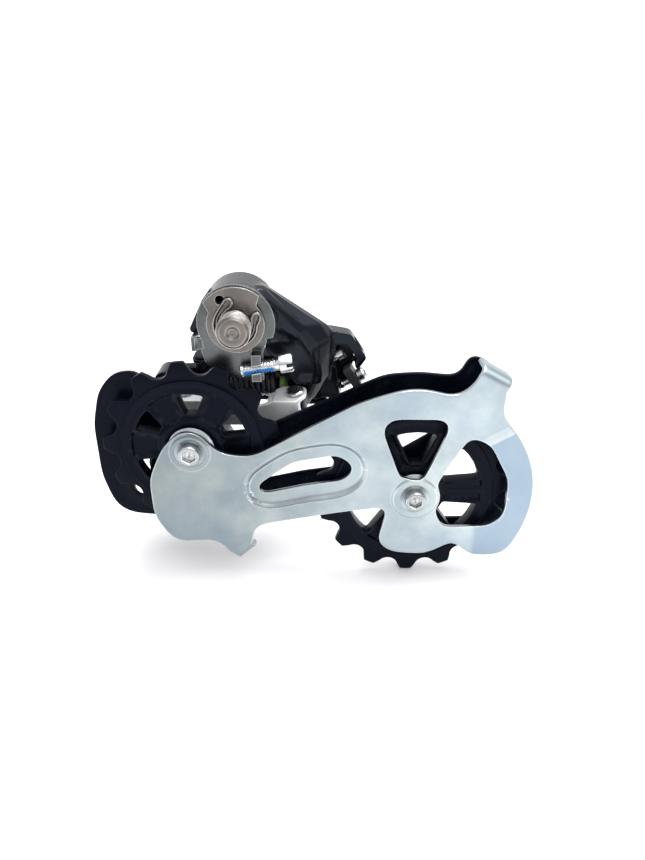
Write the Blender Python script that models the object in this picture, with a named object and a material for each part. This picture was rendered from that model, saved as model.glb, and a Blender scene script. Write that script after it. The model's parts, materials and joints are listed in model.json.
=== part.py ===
"""Long-cage rear bicycle derailleur, direct-mount M10 bolt, sprung cage at rest.

Built in millimetres and written out in metres. X is the rear of the bicycle, Y is
outboard, Z is up. The origin is on the mounting-bolt axis at the hanger seat.
"""
import math

import bmesh
import bpy
from mathutils import Vector

MM = 0.001
GAP = 0.3
WELD = 0.001

# chain and pulleys
PITCH = 12.7
ROLLER = 4.0
GUIDE = (-15.0, -37.0)
TENSION = (55.0, -54.0)
GUIDE_TEETH = 13
TENSION_TEETH = 15
TOOTH_LAND = 3.5
TIP_OVER_PITCH = 1.05
PULLEY_Y = -6.0
TOOTH_HALF = 1.2
RIM_HALF = 2.2
BUSH_HALF = 3.9

# cage plates
INNER_FACE = -12.0
INNER_BACK = -10.2
OUTER_FACE = -1.8
OUTER_BACK = -0.3
CAGE_AXIS = (-16.0, -49.0)

# mounting bolt and bracket
BOLT_R = 5.0
BOLT_END = -9.5
BARREL_R = 11.5
BARREL_FRONT = 2.3
BARREL_BACK = 20.0

# parallelogram
PIN = Vector((-0.12, -0.25, 0.9608)).normalized()
LINK = 37.0
REST = math.radians(10.0)
PIN_R = 2.0
BOSS_R = 3.2
HOLE_R = 2.3
IN_LOW = -3.0
IN_HIGH = 4.3
OUT_LOW = -6.2
OUT_HIGH = 9.2
SHEET = 1.4
B_IN = Vector((17.8, 5.4, -29.3))
B_OUT = Vector((23.5, 15.8, -24.5))
ALONG_0 = (Vector((-1, 0, 0)) - PIN * Vector((-1, 0, 0)).dot(PIN)).normalized()
OUT_0 = ALONG_0.cross(PIN).normalized()
ALONG = (ALONG_0 * math.cos(REST) + OUT_0 * math.sin(REST)).normalized()
OUTWARD = ALONG.cross(PIN).normalized()
P_IN = B_IN + ALONG * LINK
P_OUT = B_OUT + ALONG * LINK

Y_AXIS = Vector((0, 1, 0))

for old in list(bpy.data.objects):
    bpy.data.objects.remove(old, do_unlink=True)


def material(name, colour, rough, metal):
    mat = bpy.data.materials.new(name)
    mat.use_nodes = True
    shader = mat.node_tree.nodes["Principled BSDF"]
    shader.inputs["Base Color"].default_value = (*colour, 1.0)
    shader.inputs["Roughness"].default_value = rough
    shader.inputs["Metallic"].default_value = metal
    mat.diffuse_color = (*colour, 1.0)
    return mat


ZINC = ("zinc", (0.62, 0.66, 0.69), 0.33, 1.0)
STEEL = ("steel", (0.50, 0.48, 0.46), 0.34, 1.0)
BRIGHT = ("bright_zinc", (0.78, 0.79, 0.80), 0.25, 1.0)
PAINT = ("black_paint", (0.030, 0.031, 0.034), 0.38, 0.0)
PLATE = ("black_steel", (0.022, 0.022, 0.024), 0.42, 0.0)
RESIN = ("black_resin", (0.020, 0.020, 0.022), 0.45, 0.0)
SPRING = ("spring_steel", (0.045, 0.042, 0.042), 0.35, 0.8)
BLACKED = ("black_oxide", (0.10, 0.10, 0.105), 0.35, 0.9)
GREEN = ("green_nylon", (0.30, 0.42, 0.16), 0.50, 0.0)
BRONZE = ("bronze", (0.45, 0.33, 0.18), 0.40, 1.0)
GREY = ("grey_resin", (0.17, 0.17, 0.18), 0.40, 0.0)


def basis(axis):
    axis = Vector(axis).normalized()
    side = Vector((1, 0, 0)) if abs(axis.x) < 0.9 else Vector((0, 0, 1))
    u = (side - axis * side.dot(axis)).normalized()
    return u, axis.cross(u), axis


def as_object(bm):
    mesh = bpy.data.meshes.new("work")
    bm.to_mesh(mesh)
    obj = bpy.data.objects.new("work", mesh)
    bpy.context.scene.collection.objects.link(obj)
    return obj


def tidy(bm):
    bmesh.ops.remove_doubles(bm, verts=bm.verts, dist=WELD)
    bmesh.ops.dissolve_degenerate(bm, edges=bm.edges, dist=WELD)
    bmesh.ops.recalc_face_normals(bm, faces=bm.faces)
    return bm


def boolean(bm, tool, operation):
    base = as_object(bm)
    other = as_object(tool)
    mod = base.modifiers.new("cut", "BOOLEAN")
    mod.object = other
    mod.operation = operation
    mod.solver = "EXACT"
    graph = bpy.context.evaluated_depsgraph_get()
    mesh = bpy.data.meshes.new_from_object(base.evaluated_get(graph))
    out = bmesh.new()
    out.from_mesh(mesh)
    bpy.data.objects.remove(base, do_unlink=True)
    bpy.data.objects.remove(other, do_unlink=True)
    bpy.data.meshes.remove(mesh)
    return tidy(out)


def join(first, *rest):
    for tool in rest:
        first = boolean(first, tool, "UNION")
    return first


def cut(first, *rest):
    for tool in rest:
        first = boolean(first, tool, "DIFFERENCE")
    return first


def finish(name, bm, look, origin=(0, 0, 0), sharp=32):
    """Scale to metres, put the origin on the joint axis and shade."""
    tidy(bm)
    bmesh.ops.triangulate(bm, faces=[f for f in bm.faces if len(f.verts) > 4])
    offset = Vector(origin)
    for vert in bm.verts:
        vert.co = (vert.co - offset) * MM
    mesh = bpy.data.meshes.new(name)
    bm.to_mesh(mesh)
    bm.free()
    mesh.shade_smooth()
    mesh.set_sharp_from_angle(angle=math.radians(sharp))
    obj = bpy.data.objects.new(name, mesh)
    obj.location = offset * MM
    bpy.context.scene.collection.objects.link(obj)
    found = bpy.data.materials.get(look[0])
    mesh.materials.append(found if found else material(*look))
    return obj


def arc(cx, cz, r, a0, a1, n):
    """Points on an arc; angles in degrees from +X toward +Z."""
    step = (a1 - a0) / n
    angles = [math.radians(a0 + step * i) for i in range(n + 1)]
    return [(cx + r * math.cos(a), cz + r * math.sin(a)) for a in angles]


def bare(points):
    """Arc points as corners that stay unrounded."""
    return [(x, z, 0) for x, z in points]


def fillet(corners, steps=4):
    """Round a polygon's corners, each given as (x, z, radius)."""
    points = []
    count = len(corners)
    for i, (x, z, r) in enumerate(corners):
        p = Vector((x, z))
        if r <= 0:
            points.append((x, z))
            continue
        a = Vector(corners[i - 1][:2]) - p
        b = Vector(corners[(i + 1) % count][:2]) - p
        half = a.angle(b) / 2
        reach = min(r / math.tan(half), 0.48 * a.length, 0.48 * b.length)
        rad = reach * math.tan(half)
        centre = p + (a.normalized() + b.normalized()).normalized() * rad / math.sin(half)
        start = p + a.normalized() * reach - centre
        end = p + b.normalized() * reach - centre
        a0 = math.atan2(start.y, start.x)
        turn = (math.atan2(end.y, end.x) - a0 + math.pi) % (2 * math.pi) - math.pi
        for k in range(steps + 1):
            ang = a0 + turn * k / steps
            points.append((centre.x + rad * math.cos(ang), centre.y + rad * math.sin(ang)))
    return points


def loft(rings, warped=False):
    """Skin a list of equal rings of 3D points, triangulated where its faces aren't flat."""
    bm = bmesh.new()
    loops = [[bm.verts.new(p) for p in ring] for ring in rings]
    count = len(loops[0])
    for low, high in zip(loops, loops[1:]):
        for i in range(count):
            j = (i + 1) % count
            bm.faces.new((low[i], low[j], high[j], high[i]))
    bm.faces.new(list(reversed(loops[0])))
    bm.faces.new(loops[-1])
    bmesh.ops.triangulate(bm, faces=bm.faces[:] if warped else [])
    bmesh.ops.recalc_face_normals(bm, faces=bm.faces)
    return bm


def prism(outline, y0, y1):
    return loft([[(x, y, z) for x, z in outline] for y in (y0, y1)])


def framed(outline, origin, axes, h0, h1):
    """Extrude a plan outline in a local frame of (along, outward, pin)."""
    u, v, w = axes
    rings = []
    for h in (h0, h1):
        rings.append([origin + u * s + v * n + w * h for s, n in outline])
    return loft(rings)


def turned(profile, base, axis, segments=24, phase=0.0):
    """Turn a profile of (radius, distance) about an axis; zero radius closes it."""
    u, v, w = basis(axis)
    base = Vector(base)
    bm = bmesh.new()
    loops = []
    for r, d in profile:
        centre = base + w * d
        if r <= 0:
            loops.append([bm.verts.new(centre)])
            continue
        ring = []
        for i in range(segments):
            a = 2 * math.pi * (i + phase) / segments
            ring.append(bm.verts.new(centre + (u * math.cos(a) + v * math.sin(a)) * r))
        loops.append(ring)
    pairs = list(zip(loops, loops[1:]))
    if len(loops[0]) > 1:
        pairs.append((loops[-1], loops[0]))
    for low, high in pairs:
        for i in range(segments):
            j = (i + 1) % segments
            quad = [low[i % len(low)], low[j % len(low)], high[j % len(high)], high[i % len(high)]]
            unique = list(dict.fromkeys(quad))
            if len(unique) > 2:
                bm.faces.new(unique)
    bmesh.ops.recalc_face_normals(bm, faces=bm.faces)
    return bm


def rod(base, axis, r, d0, d1, segments=20, phase=0.0):
    return turned([(0, d0), (r, d0), (r, d1), (0, d1)], base, axis, segments, phase)


def hexagon(base, axis, flats, d0, d1):
    return rod(base, axis, flats / math.sqrt(3), d0, d1, 6)


def swept(path, r, sides=6):
    """Round wire along a path of points."""
    points = [Vector(p) for p in path]
    last = len(points) - 1
    normal = None
    rings = []
    for i, p in enumerate(points):
        tangent = (points[min(i + 1, last)] - points[max(i - 1, 0)]).normalized()
        if normal is None:
            normal = basis(tangent)[0]
        normal = (normal - tangent * normal.dot(tangent)).normalized()
        other = tangent.cross(normal)
        ring = []
        for k in range(sides):
            a = 2 * math.pi * k / sides
            ring.append(p + (normal * math.cos(a) + other * math.sin(a)) * r)
        rings.append(ring)
    return loft(rings)


def helix(base, axis, radius, length, turns, per_turn, start=0.0):
    u, v, w = basis(axis)
    count = int(turns * per_turn)
    points = []
    for i in range(count + 1):
        a = start + 2 * math.pi * turns * i / count
        d = length * i / count
        points.append(Vector(base) + w * d + (u * math.cos(a) + v * math.sin(a)) * radius)
    return points


# ---------------------------------------------------------------- pulleys
def tooth_outline(cx, cz, teeth, phase):
    """Wide flat-topped teeth with round valleys for the chain rollers."""
    pitch_r = PITCH / (2 * math.sin(math.pi / teeth))
    tip_r = pitch_r + TIP_OVER_PITCH
    land = math.asin(TOOTH_LAND / 2 / tip_r)
    points = []
    for k in range(teeth):
        tooth = math.radians(phase) + 2 * math.pi * k / teeth
        for side in (-1, 1):
            a = tooth + side * land
            points.append((cx + tip_r * math.cos(a), cz + tip_r * math.sin(a)))
        valley = tooth + math.pi / teeth
        mx = cx + pitch_r * math.cos(valley)
        mz = cz + pitch_r * math.sin(valley)
        for turn in (-60, -20, 20, 60):
            a = valley + math.pi + math.radians(-turn)
            points.append((mx + ROLLER * math.cos(a), mz + ROLLER * math.sin(a)))
    return points


def pulley(name, centre, teeth, phase, rim, window_r, hub_r, window_phase, spans):
    cx, cz = centre
    middle = (cx, PULLEY_Y, cz)
    body = prism(tooth_outline(cx, cz, teeth, phase), PULLEY_Y - TOOTH_HALF, PULLEY_Y + TOOTH_HALF)
    ring = turned([(0, -RIM_HALF), (rim - 0.5, -RIM_HALF), (rim, -RIM_HALF + 0.5),
                   (rim, RIM_HALF - 0.5), (rim - 0.5, RIM_HALF), (0, RIM_HALF)], middle, Y_AXIS, 36)
    body = join(body, ring)
    outer_span, inner_span = spans
    for k in range(6):
        mid = window_phase + 60 * k
        outer = arc(cx, cz, window_r, mid - outer_span, mid + outer_span, 2)
        inner = arc(cx, cz, hub_r, mid + inner_span, mid - inner_span, 1)
        window = prism(outer + inner, PULLEY_Y - 5, PULLEY_Y + 5)
        body = cut(body, window)
        spoke = math.radians(mid + 30)
        along = Vector((math.cos(spoke), 0, math.sin(spoke)))
        across = Vector((-math.sin(spoke), 0, math.cos(spoke)))
        foot = Vector(middle)
        groove = [(hub_r - 0.6, -1.7), (window_r, -1.7), (window_r, 1.7), (hub_r - 0.6, 1.7)]
        axes = (along, across, Y_AXIS)
        body = cut(body, framed(groove, foot, axes, -RIM_HALF - 1, -RIM_HALF + 0.9),
                   framed(groove, foot, axes, RIM_HALF - 0.9, RIM_HALF + 1))
    body = cut(body, rod(middle, Y_AXIS, 4.3, -4, 4, 24))
    return finish(name, body, RESIN, middle)


def pulley_fittings(stem, centre):
    cx, cz = centre
    middle = (cx, PULLEY_Y, cz)
    bush = turned([(2.8, -BUSH_HALF), (4.0, -BUSH_HALF), (4.0, BUSH_HALF), (2.8, BUSH_HALF)],
                  middle, Y_AXIS, 16)
    finish(stem + "_bush", bush, BRONZE, middle)
    for side, word in ((-1, "inner"), (1, "outer")):
        cap = turned([(4.3, side * 2.7), (7.2, side * 2.7), (7.2, side * 3.4),
                      (6.7, side * 3.8), (4.3, side * 3.8)], middle, Y_AXIS, 20)
        finish(stem + "_dust_cap_" + word, cap, ZINC, middle)
    bolt = turned([(0, -7.6), (2.6, -7.6), (3.3, -7.1), (3.3, -6.3), (2.4, -6.3),
                   (2.4, 6.0), (0, 6.0)], middle, Y_AXIS, 20)
    bolt = cut(bolt, hexagon(middle, Y_AXIS, 3.0, -8.5, -6.0))
    finish(stem + "_bolt", bolt, BRIGHT, middle)


pulley("guide_pulley", GUIDE, GUIDE_TEETH, 39.5, 22.0, 17.8, 11.0, 27.0, (13.0, 8.0))
pulley("tension_pulley", TENSION, TENSION_TEETH, 220.8, 25.9, 21.5, 10.5, 30.0, (17.5, 9.0))
pulley_fittings("guide", GUIDE)
pulley_fittings("tension", TENSION)


# ---------------------------------------------------------------- cage plates
def triangle_window(grow=0.0):
    return fillet([(42.4 - grow, -26.2 + grow, 4), (65.2 + grow, -26.6 + grow, 4),
                   (62.2 + grow, -35.0, 6), (57.2, -47.6, 0.8), (50.0, -46.6, 0.8)])


def rear_window(grow=0.0):
    return fillet(bare(arc(TENSION[0], TENSION[1], 8.2, -36, 36, 4))
                  + [(70.6, -32.4 + grow, 2.5), (77.2 + grow, -35.0 + grow, 5), (84.4 + grow, -48.0, 9),
                     (84.4 + grow, -62.0, 5), (79.0, -65.0 - grow, 4), (64.4, -65.2 - grow, 3)])


SLOT = fillet([(4.6, -49.6, 2.2), (16.5, -41.2, 6), (30.6, -38.8, 5), (36.4, -43.8, 3.2),
               (31.8, -48.0, 4), (20.0, -49.6, 10), (6.2, -52.6, 1.6)])

inner_outline = fillet(
    [(-28.4, -46.0, 10), (-23.4, -35.4, 6), (-17.4, -29.4, 4), (-11.6, -30.6, 4), (-6.4, -37.4, 7),
     (3.6, -38.8, 9), (36.0, -21.0, 30), (53.5, -15.8, 22), (66.5, -19.6, 8), (71.8, -13.2, 2),
     (72.6, -6.0, 1.5), (80.6, -15.6, 6), (79.6, -25.0, 5)]
    + bare(arc(TENSION[0] + 0.3, TENSION[1] - 0.6, 37.6, 33, -24, 8))
    + [(86.5, -76.6, 5), (76.0, -77.4, 8), (68.4, -70.6, 0.6), (60.0, -75.8, 9), (48.4, -74.8, 6),
       (43.2, -71.0, 4), (47.0, -57.0, 2), (30.0, -59.2, 20), (8.0, -62.9, 12), (3.2, -64.2, 3),
       (2.6, -71.6, 1), (-3.4, -76.6, 1), (-8.0, -69.0, 6), (-22.4, -69.8, 5), (-28.2, -60.0, 8)])
plate = prism(inner_outline, INNER_FACE, INNER_BACK)
plate = cut(plate, prism(SLOT, -14, -8), prism(triangle_window(), -14, -8), prism(rear_window(), -14, -8))
flange = prism(fillet([(70.8, -13.4, 0), (72.2, -7.6, 0), (80.4, -16.2, 0), (79.2, -17.2, 0),
                       (73.0, -10.6, 0), (72.4, -13.6, 0)]), INNER_BACK - 0.4, -3.4)
foot = prism([(2.6, -71.2), (-3.2, -75.9), (-2.4, -76.8), (3.6, -72.3)], INNER_BACK - 0.4, -7.6)
plate = join(plate, flange, foot)
for cx, cz in (GUIDE, TENSION):
    plate = cut(plate, rod((cx, 0, cz), Y_AXIS, 2.7, -14, -9, 24))
finish("inner_cage_plate", plate, ZINC, (CAGE_AXIS[0], 0, CAGE_AXIS[1]), 20)

STOP_PIN = (CAGE_AXIS[0] - 12.1, CAGE_AXIS[1] + 6.9)
guard = [(-30.6, -14.0, 2), (-38.4, -14.4, 7), (-43.6, -21.0, 10), (-46.4, -32.0, 14), (-46.4, -50.0, 14),
         (-42.6, -64.4, 9), (-28.0, -66.0, 10), (-14.0, -65.4, 14), (8.0, -59.6, 12), (40.0, -53.6, 4),
         (45.2, -60.0, 6), (47.6, -70.6, 8), (57.0, -73.4, 14), (74.0, -71.8, 6)]
top = [(80.2, -20.0, 4), (80.2, -14.4, 3), (73.0, -9.6, 2), (69.8, -10.4, 1.5), (68.6, -16.6, 4),
       (56.0, -15.2, 16), (45.0, -15.8, 14), (11.5, -31.4, 8), (-2.0, -37.0, 4)]
ear = [(-31.6, -58.6, 3), (-36.5, -58.6, 3), (-36.5, -30.0, 8), (-31.6, -22.6, 5), (-28.4, -17.4, 2)]
outer_outline = fillet(
    guard + bare(arc(TENSION[0], TENSION[1], 34.6, -32, 42, 9)) + top
    + bare(arc(GUIDE[0], GUIDE[1], 5.8, 10, 150, 5)) + bare(arc(CAGE_AXIS[0], CAGE_AXIS[1], 14.6, 130, 200, 5)) + ear)
plate = prism(outer_outline, OUTER_FACE, OUTER_BACK)
plate = cut(plate, prism(triangle_window(0.8), -4, 2), prism(rear_window(0.8), -4, 2), prism(SLOT, -4, 2),
            rod((CAGE_AXIS[0], 0, CAGE_AXIS[1]), Y_AXIS, 3.5, -4, 2, 24))
for cx, cz in (GUIDE, TENSION):
    plate = cut(plate, rod((cx, 0, cz), Y_AXIS, 2.7, -4, 2, 24))
plate = cut(plate, rod((STOP_PIN[0], 0, STOP_PIN[1]), Y_AXIS, 1.4, -4, 2, 16))
finish("outer_cage_plate", plate, PLATE, (CAGE_AXIS[0], 0, CAGE_AXIS[1]), 20)

# ---------------------------------------------------------------- cage pivot
CAGE_POINT = (CAGE_AXIS[0], 0, CAGE_AXIS[1])
axle = turned([(0, -2.9), (4.5, -2.9), (4.5, -2.1), (3.2, -2.1), (3.2, 0.1), (4.0, 0.1), (4.0, 22.4),
               (6.2, 22.4), (6.2, 23.2), (5.4, 23.8), (0, 23.8)], CAGE_POINT, Y_AXIS, 24)
axle = cut(axle, hexagon(CAGE_POINT, Y_AXIS, 4.0, 21.8, 25.0))
finish("cage_axle", axle, STEEL, CAGE_POINT)
pin_base = (STOP_PIN[0], 0, STOP_PIN[1])
stop_pin = turned([(0, -1.7), (1.1, -1.7), (1.1, 0.1), (1.9, 0.1), (1.9, 4.6), (1.6, 5.0), (0, 5.0)],
                  pin_base, Y_AXIS, 16)
finish("cage_stop_pin", stop_pin, STEEL, CAGE_POINT)
coil = helix((CAGE_AXIS[0], 3.0, CAGE_AXIS[1]), Y_AXIS, 7.4, 13.0, 4.5, 10)
finish("cage_torsion_spring", swept(coil, 0.9, 4), SPRING, CAGE_POINT)

# ---------------------------------------------------------------- cage knuckle
REST_AXES = (ALONG, OUTWARD, PIN)
knuckle = turned([(0, 0.4), (10.9, 0.4), (BARREL_R, 1.0), (BARREL_R, 20.6), (10.4, 21.9), (0, 21.9)],
                 CAGE_POINT, Y_AXIS, 32)
inner_boss = rod(P_IN, PIN, BOSS_R, IN_LOW + GAP, IN_HIGH - GAP, 20)
outer_boss = rod(P_OUT, PIN, BOSS_R, OUT_LOW + GAP, OUT_HIGH - GAP, 20)
tie = framed([(-1.8, -2.4), (1.8, -2.4), (1.8, 3.4), (-1.8, 3.4)], P_IN,
             ((P_OUT - P_IN).cross(PIN).normalized(), PIN, (P_OUT - P_IN).normalized()), 1.0, 10.5)
inner_arm = framed([(1.0, -1.5), (8.5, -1.5), (8.5, 2.2), (1.0, 2.2)], P_IN, REST_AXES, -2.6, 3.9)
outer_arm = framed([(1.0, -2.8), (14.5, -2.8), (14.5, 0.4), (1.0, 0.4)], P_OUT, REST_AXES, -5.8, 7.4)
column = prism(fillet([(-23.4, -18.4, 2.5), (-29.0, -20.4, 3), (-29.4, -47.0, 4), (-20.0, -52.0, 1),
                       (-20.0, -40.0, 1), (-23.4, -36.5, 3)]), 10.8, 21.4)
stop = prism(arc(CAGE_AXIS[0], CAGE_AXIS[1], 15.4, 160, 178, 3) + arc(CAGE_AXIS[0], CAGE_AXIS[1], 10.0, 178, 160, 3),
             0.6, 9.0)
knuckle = join(knuckle, column, inner_boss, outer_boss, tie, inner_arm, outer_arm, stop)
cavity = turned([(0, -1.0), (9.4, -1.0), (9.4, 19.2), (0, 19.2)], CAGE_POINT, Y_AXIS, 24)
knuckle = cut(knuckle, cavity, rod(CAGE_POINT, Y_AXIS, 4.3, 15, 25, 28),
              rod(P_IN, PIN, HOLE_R, -9, 9, 20), rod(P_OUT, PIN, HOLE_R, -12, 14, 20))
finish("cage_knuckle", knuckle, PAINT, CAGE_POINT)

# ---------------------------------------------------------------- links
END = 3.4


def link(base, web, inside, low, high, dip):
    """Folded channel: a web on one side of the pins and a flange at each end of them."""
    sign = 1 if web > 0 else -1
    edge = web + sign * SHEET
    neck = -sign * 1.2
    plan = fillet([(-1.2, edge, 1.0), (LINK + 1.2, edge, 1.0), (LINK + END + 0.2, web * 0.4, 3.0),
                   (LINK + END, -sign * END, 3.0), (LINK - 4.2, -sign * END, 2.0), (LINK - 7.6, neck, 2.0),
                   (7.6, neck, 2.0), (4.2, -sign * END, 2.0), (-END, -sign * END, 3.0),
                   (-END - 0.2, web * 0.4, 3.0)])
    body = framed(plan, base, REST_AXES, low - SHEET, high + SHEET)
    near = web - sign * inside
    hollow = [(-12, web), (LINK + 12, web), (LINK + 12, near), (-12, near)]
    body = cut(body, framed(hollow, base, REST_AXES, low, high))
    for at in (base, base + ALONG * LINK):
        body = cut(body, rod(at, PIN, HOLE_R, low - 5, high + 5, 20))
    if dip:
        body = cut(body, framed(dip, base, (ALONG, PIN, OUTWARD), -8, 8))
    return body


DIP = [(4.8, 8.0), (7.0, 5.0), (17.0, 2.0), (LINK - 8.0, 2.0), (LINK - 5.6, 8.0)]
finish("inner_link", link(B_IN, -3.4, 14, IN_LOW, IN_HIGH, DIP), BRIGHT, B_IN)


def link_pin(name, at, low, high, look):
    pin = turned([(0, low), (1.6, low), (PIN_R, low + 0.4), (PIN_R, high), (2.9, high),
                  (2.9, high + 0.6), (2.3, high + 0.9), (0, high + 0.9)], at, PIN, 16)
    finish(name, pin, look, at)


link_pin("bracket_inner_pin", B_IN, -5.2, 6.0, BRIGHT)
link_pin("cage_inner_pin", P_IN, -5.2, 6.0, BRIGHT)
link_pin("bracket_outer_pin", B_OUT, -8.4, 10.9, BLACKED)
link_pin("cage_outer_pin", P_OUT, -8.4, 10.9, BLACKED)

# return spring between the links, with its nylon seat
SPRING_R = 3.3
spring_base = B_IN + ALONG * 7.0 + OUTWARD * 6.3 + PIN * 4.4
coil = helix(spring_base, ALONG, SPRING_R, 15.8, 8.5, 8)
finish("return_spring", swept(coil, 0.7, 5), SPRING, B_IN)
seat = turned([(0, -2.9), (2.0, -2.9), (2.9, -2.2), (2.9, -1.1), (0, -1.1)], spring_base, ALONG, 20)
finish("spring_seat", seat, GREEN, B_IN)

# cable clamp on the outer link's outboard face
clamp = B_OUT + ALONG * 17.0 + OUTWARD * 4.8 + PIN * 1.5
washer = turned([(2.9, GAP), (5.0, GAP), (5.0, 1.6), (2.9, 1.6)], clamp, OUTWARD, 24)
finish("cable_clamp_washer", washer, BRIGHT, B_OUT)
hex_head = hexagon(clamp, OUTWARD, 8.0, 1.9, 5.2)
shank = rod(clamp, OUTWARD, 2.5, -1.9, 2.2, 20)
finish("cable_clamp_bolt", join(hex_head, shank), BRIGHT, B_OUT)
shell = link(B_OUT, 3.4, 14, OUT_LOW, OUT_HIGH, None)
finish("outer_link", cut(shell, rod(clamp, OUTWARD, 2.8, -5, 3, 20)), PAINT, B_OUT)

# ---------------------------------------------------------------- bracket body
SLANT_FROM = -5.0
SLANT = 0.2


def slanted(points, y):
    return [(x, y + SLANT * max(0.0, SLANT_FROM - z), z) for x, z in points]


def arm_ring(y, crown, top, shoulder, side, tip, heel):
    corners = [(-3.0, 9.6, 0), (*crown, 4), (*top, 6), (*shoulder, 4), (*side, 8),
               (*tip, 3), (*heel, 3), (12.0, -14.0, 4), (4.0, -6.0, 0)]
    return slanted(fillet(corners, 3), y)


arm = loft([
    arm_ring(2.6, (7.6, 8.6), (18.6, -3.6), (22.6, -9.4), (23.0, -20.0), (20.4, -27.2), (14.0, -27.0)),
    arm_ring(3.6, (8.0, 9.8), (20.4, -1.8), (24.8, -8.2), (25.0, -20.0), (21.6, -28.8), (14.0, -28.4)),
    arm_ring(6.4, (8.0, 10.2), (25.2, -2.0), (28.4, -7.2), (28.0, -20.0), (24.6, -30.4), (14.0, -29.4)),
    arm_ring(9.6, (8.0, 9.8), (27.6, -3.2), (30.6, -7.4), (30.2, -20.0), (27.2, -31.0), (14.0, -29.6)),
    arm_ring(14.4, (7.4, 9.0), (28.2, -5.2), (30.8, -9.0), (30.4, -20.0), (27.4, -30.6), (14.0, -29.0)),
], True)
front_pocket = prism(fillet([(3.0, -10.0, 0), (9.6, -3.0, 3), (13.0, -2.4, 3), (19.0, -6.4, 5), (22.6, -12.0, 5),
                             (22.8, -20.0, 8), (19.4, -26.6, 2), (18.4, -40.0, 0), (2.0, -40.0, 0)]), -2.0, 12.0)
deep_pocket = prism(fillet([(4.0, -13.5, 1), (13.0, -6.0, 3), (20.5, -8.4, 4), (27.7, -12.5, 3),
                            (27.7, -24.0, 3), (24.8, -34.0, 0), (4.0, -44.0, 0)]), 9.4, 26.0)
barrel = turned([(0, BARREL_FRONT), (10.9, BARREL_FRONT), (BARREL_R, BARREL_FRONT + 0.6),
                 (BARREL_R, BARREL_BACK - 1.6), (BARREL_R - 1.4, BARREL_BACK), (0, BARREL_BACK)],
                (0, 0, 0), Y_AXIS, 40)
hood = prism(fillet([(22.0, -5.0, 1), (28.5, -5.0, 3), (35.0, -6.2, 3), (40.2, -14.2, 1.2), (37.4, -18.2, 1),
                     (36.4, -17.2, 0.5), (37.0, -14.4, 1.5), (33.6, -9.8, 2), (24.0, -9.6, 1)]), 8.6, 15.4)
lug = prism(fillet([(28.2, -8.0, 1), (34.0, -8.4, 1), (36.2, -15.0, 1), (36.0, -22.0, 1), (33.4, -27.4, 1.5),
                    (29.4, -27.0, 1)]), 15.0, 17.6)
web = prism(fillet([(4.0, 4.0, 1), (20.0, -1.6, 3), (31.0, -8.0, 2), (31.0, -12.4, 1), (8.0, -12.4, 1)]), 13.8, 16.6)
sweep = rod(B_OUT, PIN, 6.5, OUT_LOW - SHEET - 0.5, OUT_HIGH + SHEET + 0.5, 28)
bumper = prism([(-8.0, 9.0), (-10.6, 5.6), (-15.0, -3.2), (-14.6, -4.2), (-12.0, -5.2), (-8.0, -6.0)], 5.6, 9.0)
body = cut(join(barrel, cut(arm, front_pocket, deep_pocket), hood, lug, web, bumper), sweep)
inner_boss = rod(B_IN, PIN, BOSS_R, IN_LOW + GAP, IN_HIGH - GAP, 20)
outer_boss = rod(B_OUT, PIN, BOSS_R, OUT_LOW + GAP, OUT_HIGH - GAP, 20)
across = (B_OUT - B_IN).normalized()
tie = framed([(-1.8, -2.4), (1.8, -2.4), (1.8, 3.4), (-1.8, 3.4)], B_IN,
             (across.cross(PIN).normalized(), PIN, across), 1.0, 11.0)
wall_tie = framed([(-8.4, -2.6), (-1.0, -2.6), (-1.0, 1.2), (-8.4, 1.2)], B_OUT, REST_AXES, -5.4, 7.6)
body = join(body, inner_boss, outer_boss, tie, wall_tie)
cavity = turned([(0, 0.0), (9.5, 0.0), (9.5, 17.0), (0, 17.0)], (0, 0, 0), Y_AXIS, 24)
body = cut(body, cavity, rod((0, 0, 0), Y_AXIS, 6.5, 15, 22, 24),
           rod(B_IN, PIN, HOLE_R, -9, 9, 20), rod(B_OUT, PIN, HOLE_R, -12, 14, 20))

# limit screws and the block that carries them
SCREW_AXIS = Vector((0.84, -0.10, 0.53)).normalized()
HIGH_SCREW = Vector((32.0, 12.4, -13.6))
LOW_SCREW = Vector((39.0, 12.2, -20.8))
spread = LOW_SCREW - HIGH_SCREW
down = (spread - SCREW_AXIS * spread.dot(SCREW_AXIS)).normalized()
BLOCK_AXES = (down, SCREW_AXIS.cross(down).normalized(), SCREW_AXIS)


def screw_block(grow):
    outline = [(-4.6 - grow, -2.4 - grow), (2.6 + grow, -2.4 - grow), (2.6 + grow, 2.4 + grow), (-4.6 - grow, 2.4 + grow)]
    return framed(outline, LOW_SCREW, BLOCK_AXES, -4.4 - grow, -1.6 + grow)


body = cut(body, rod(HIGH_SCREW, SCREW_AXIS, 1.8, -8.0, 0.5, 16), rod(HIGH_SCREW, SCREW_AXIS, 2.7, -1.9, 8.0, 20),
           rod(LOW_SCREW, SCREW_AXIS, 1.8, -9.0, 2.0, 16), screw_block(GAP))
finish("bracket_body", body, PAINT, (0, 0, 0))
finish("limit_screw_block", cut(screw_block(0.0), rod(LOW_SCREW, SCREW_AXIS, 1.8, -9, 9, 16)), GREY)


def limit_screw(name, head, tip):
    screw = turned([(0, tip), (1.1, tip), (1.5, tip + 0.5), (1.5, -1.2), (2.3, -1.2), (2.3, 0.7), (1.8, 1.1),
                    (0, 1.1)], head, SCREW_AXIS, 18)
    for side, other in ((BLOCK_AXES[0], BLOCK_AXES[1]), (BLOCK_AXES[1], BLOCK_AXES[0])):
        bar = framed([(-1.5, -0.35), (1.5, -0.35), (1.5, 0.35), (-1.5, 0.35)], head,
                     (side, other, SCREW_AXIS), -0.2, 2.0)
        screw = cut(screw, bar)
    finish(name, screw, BRIGHT, head)


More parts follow.
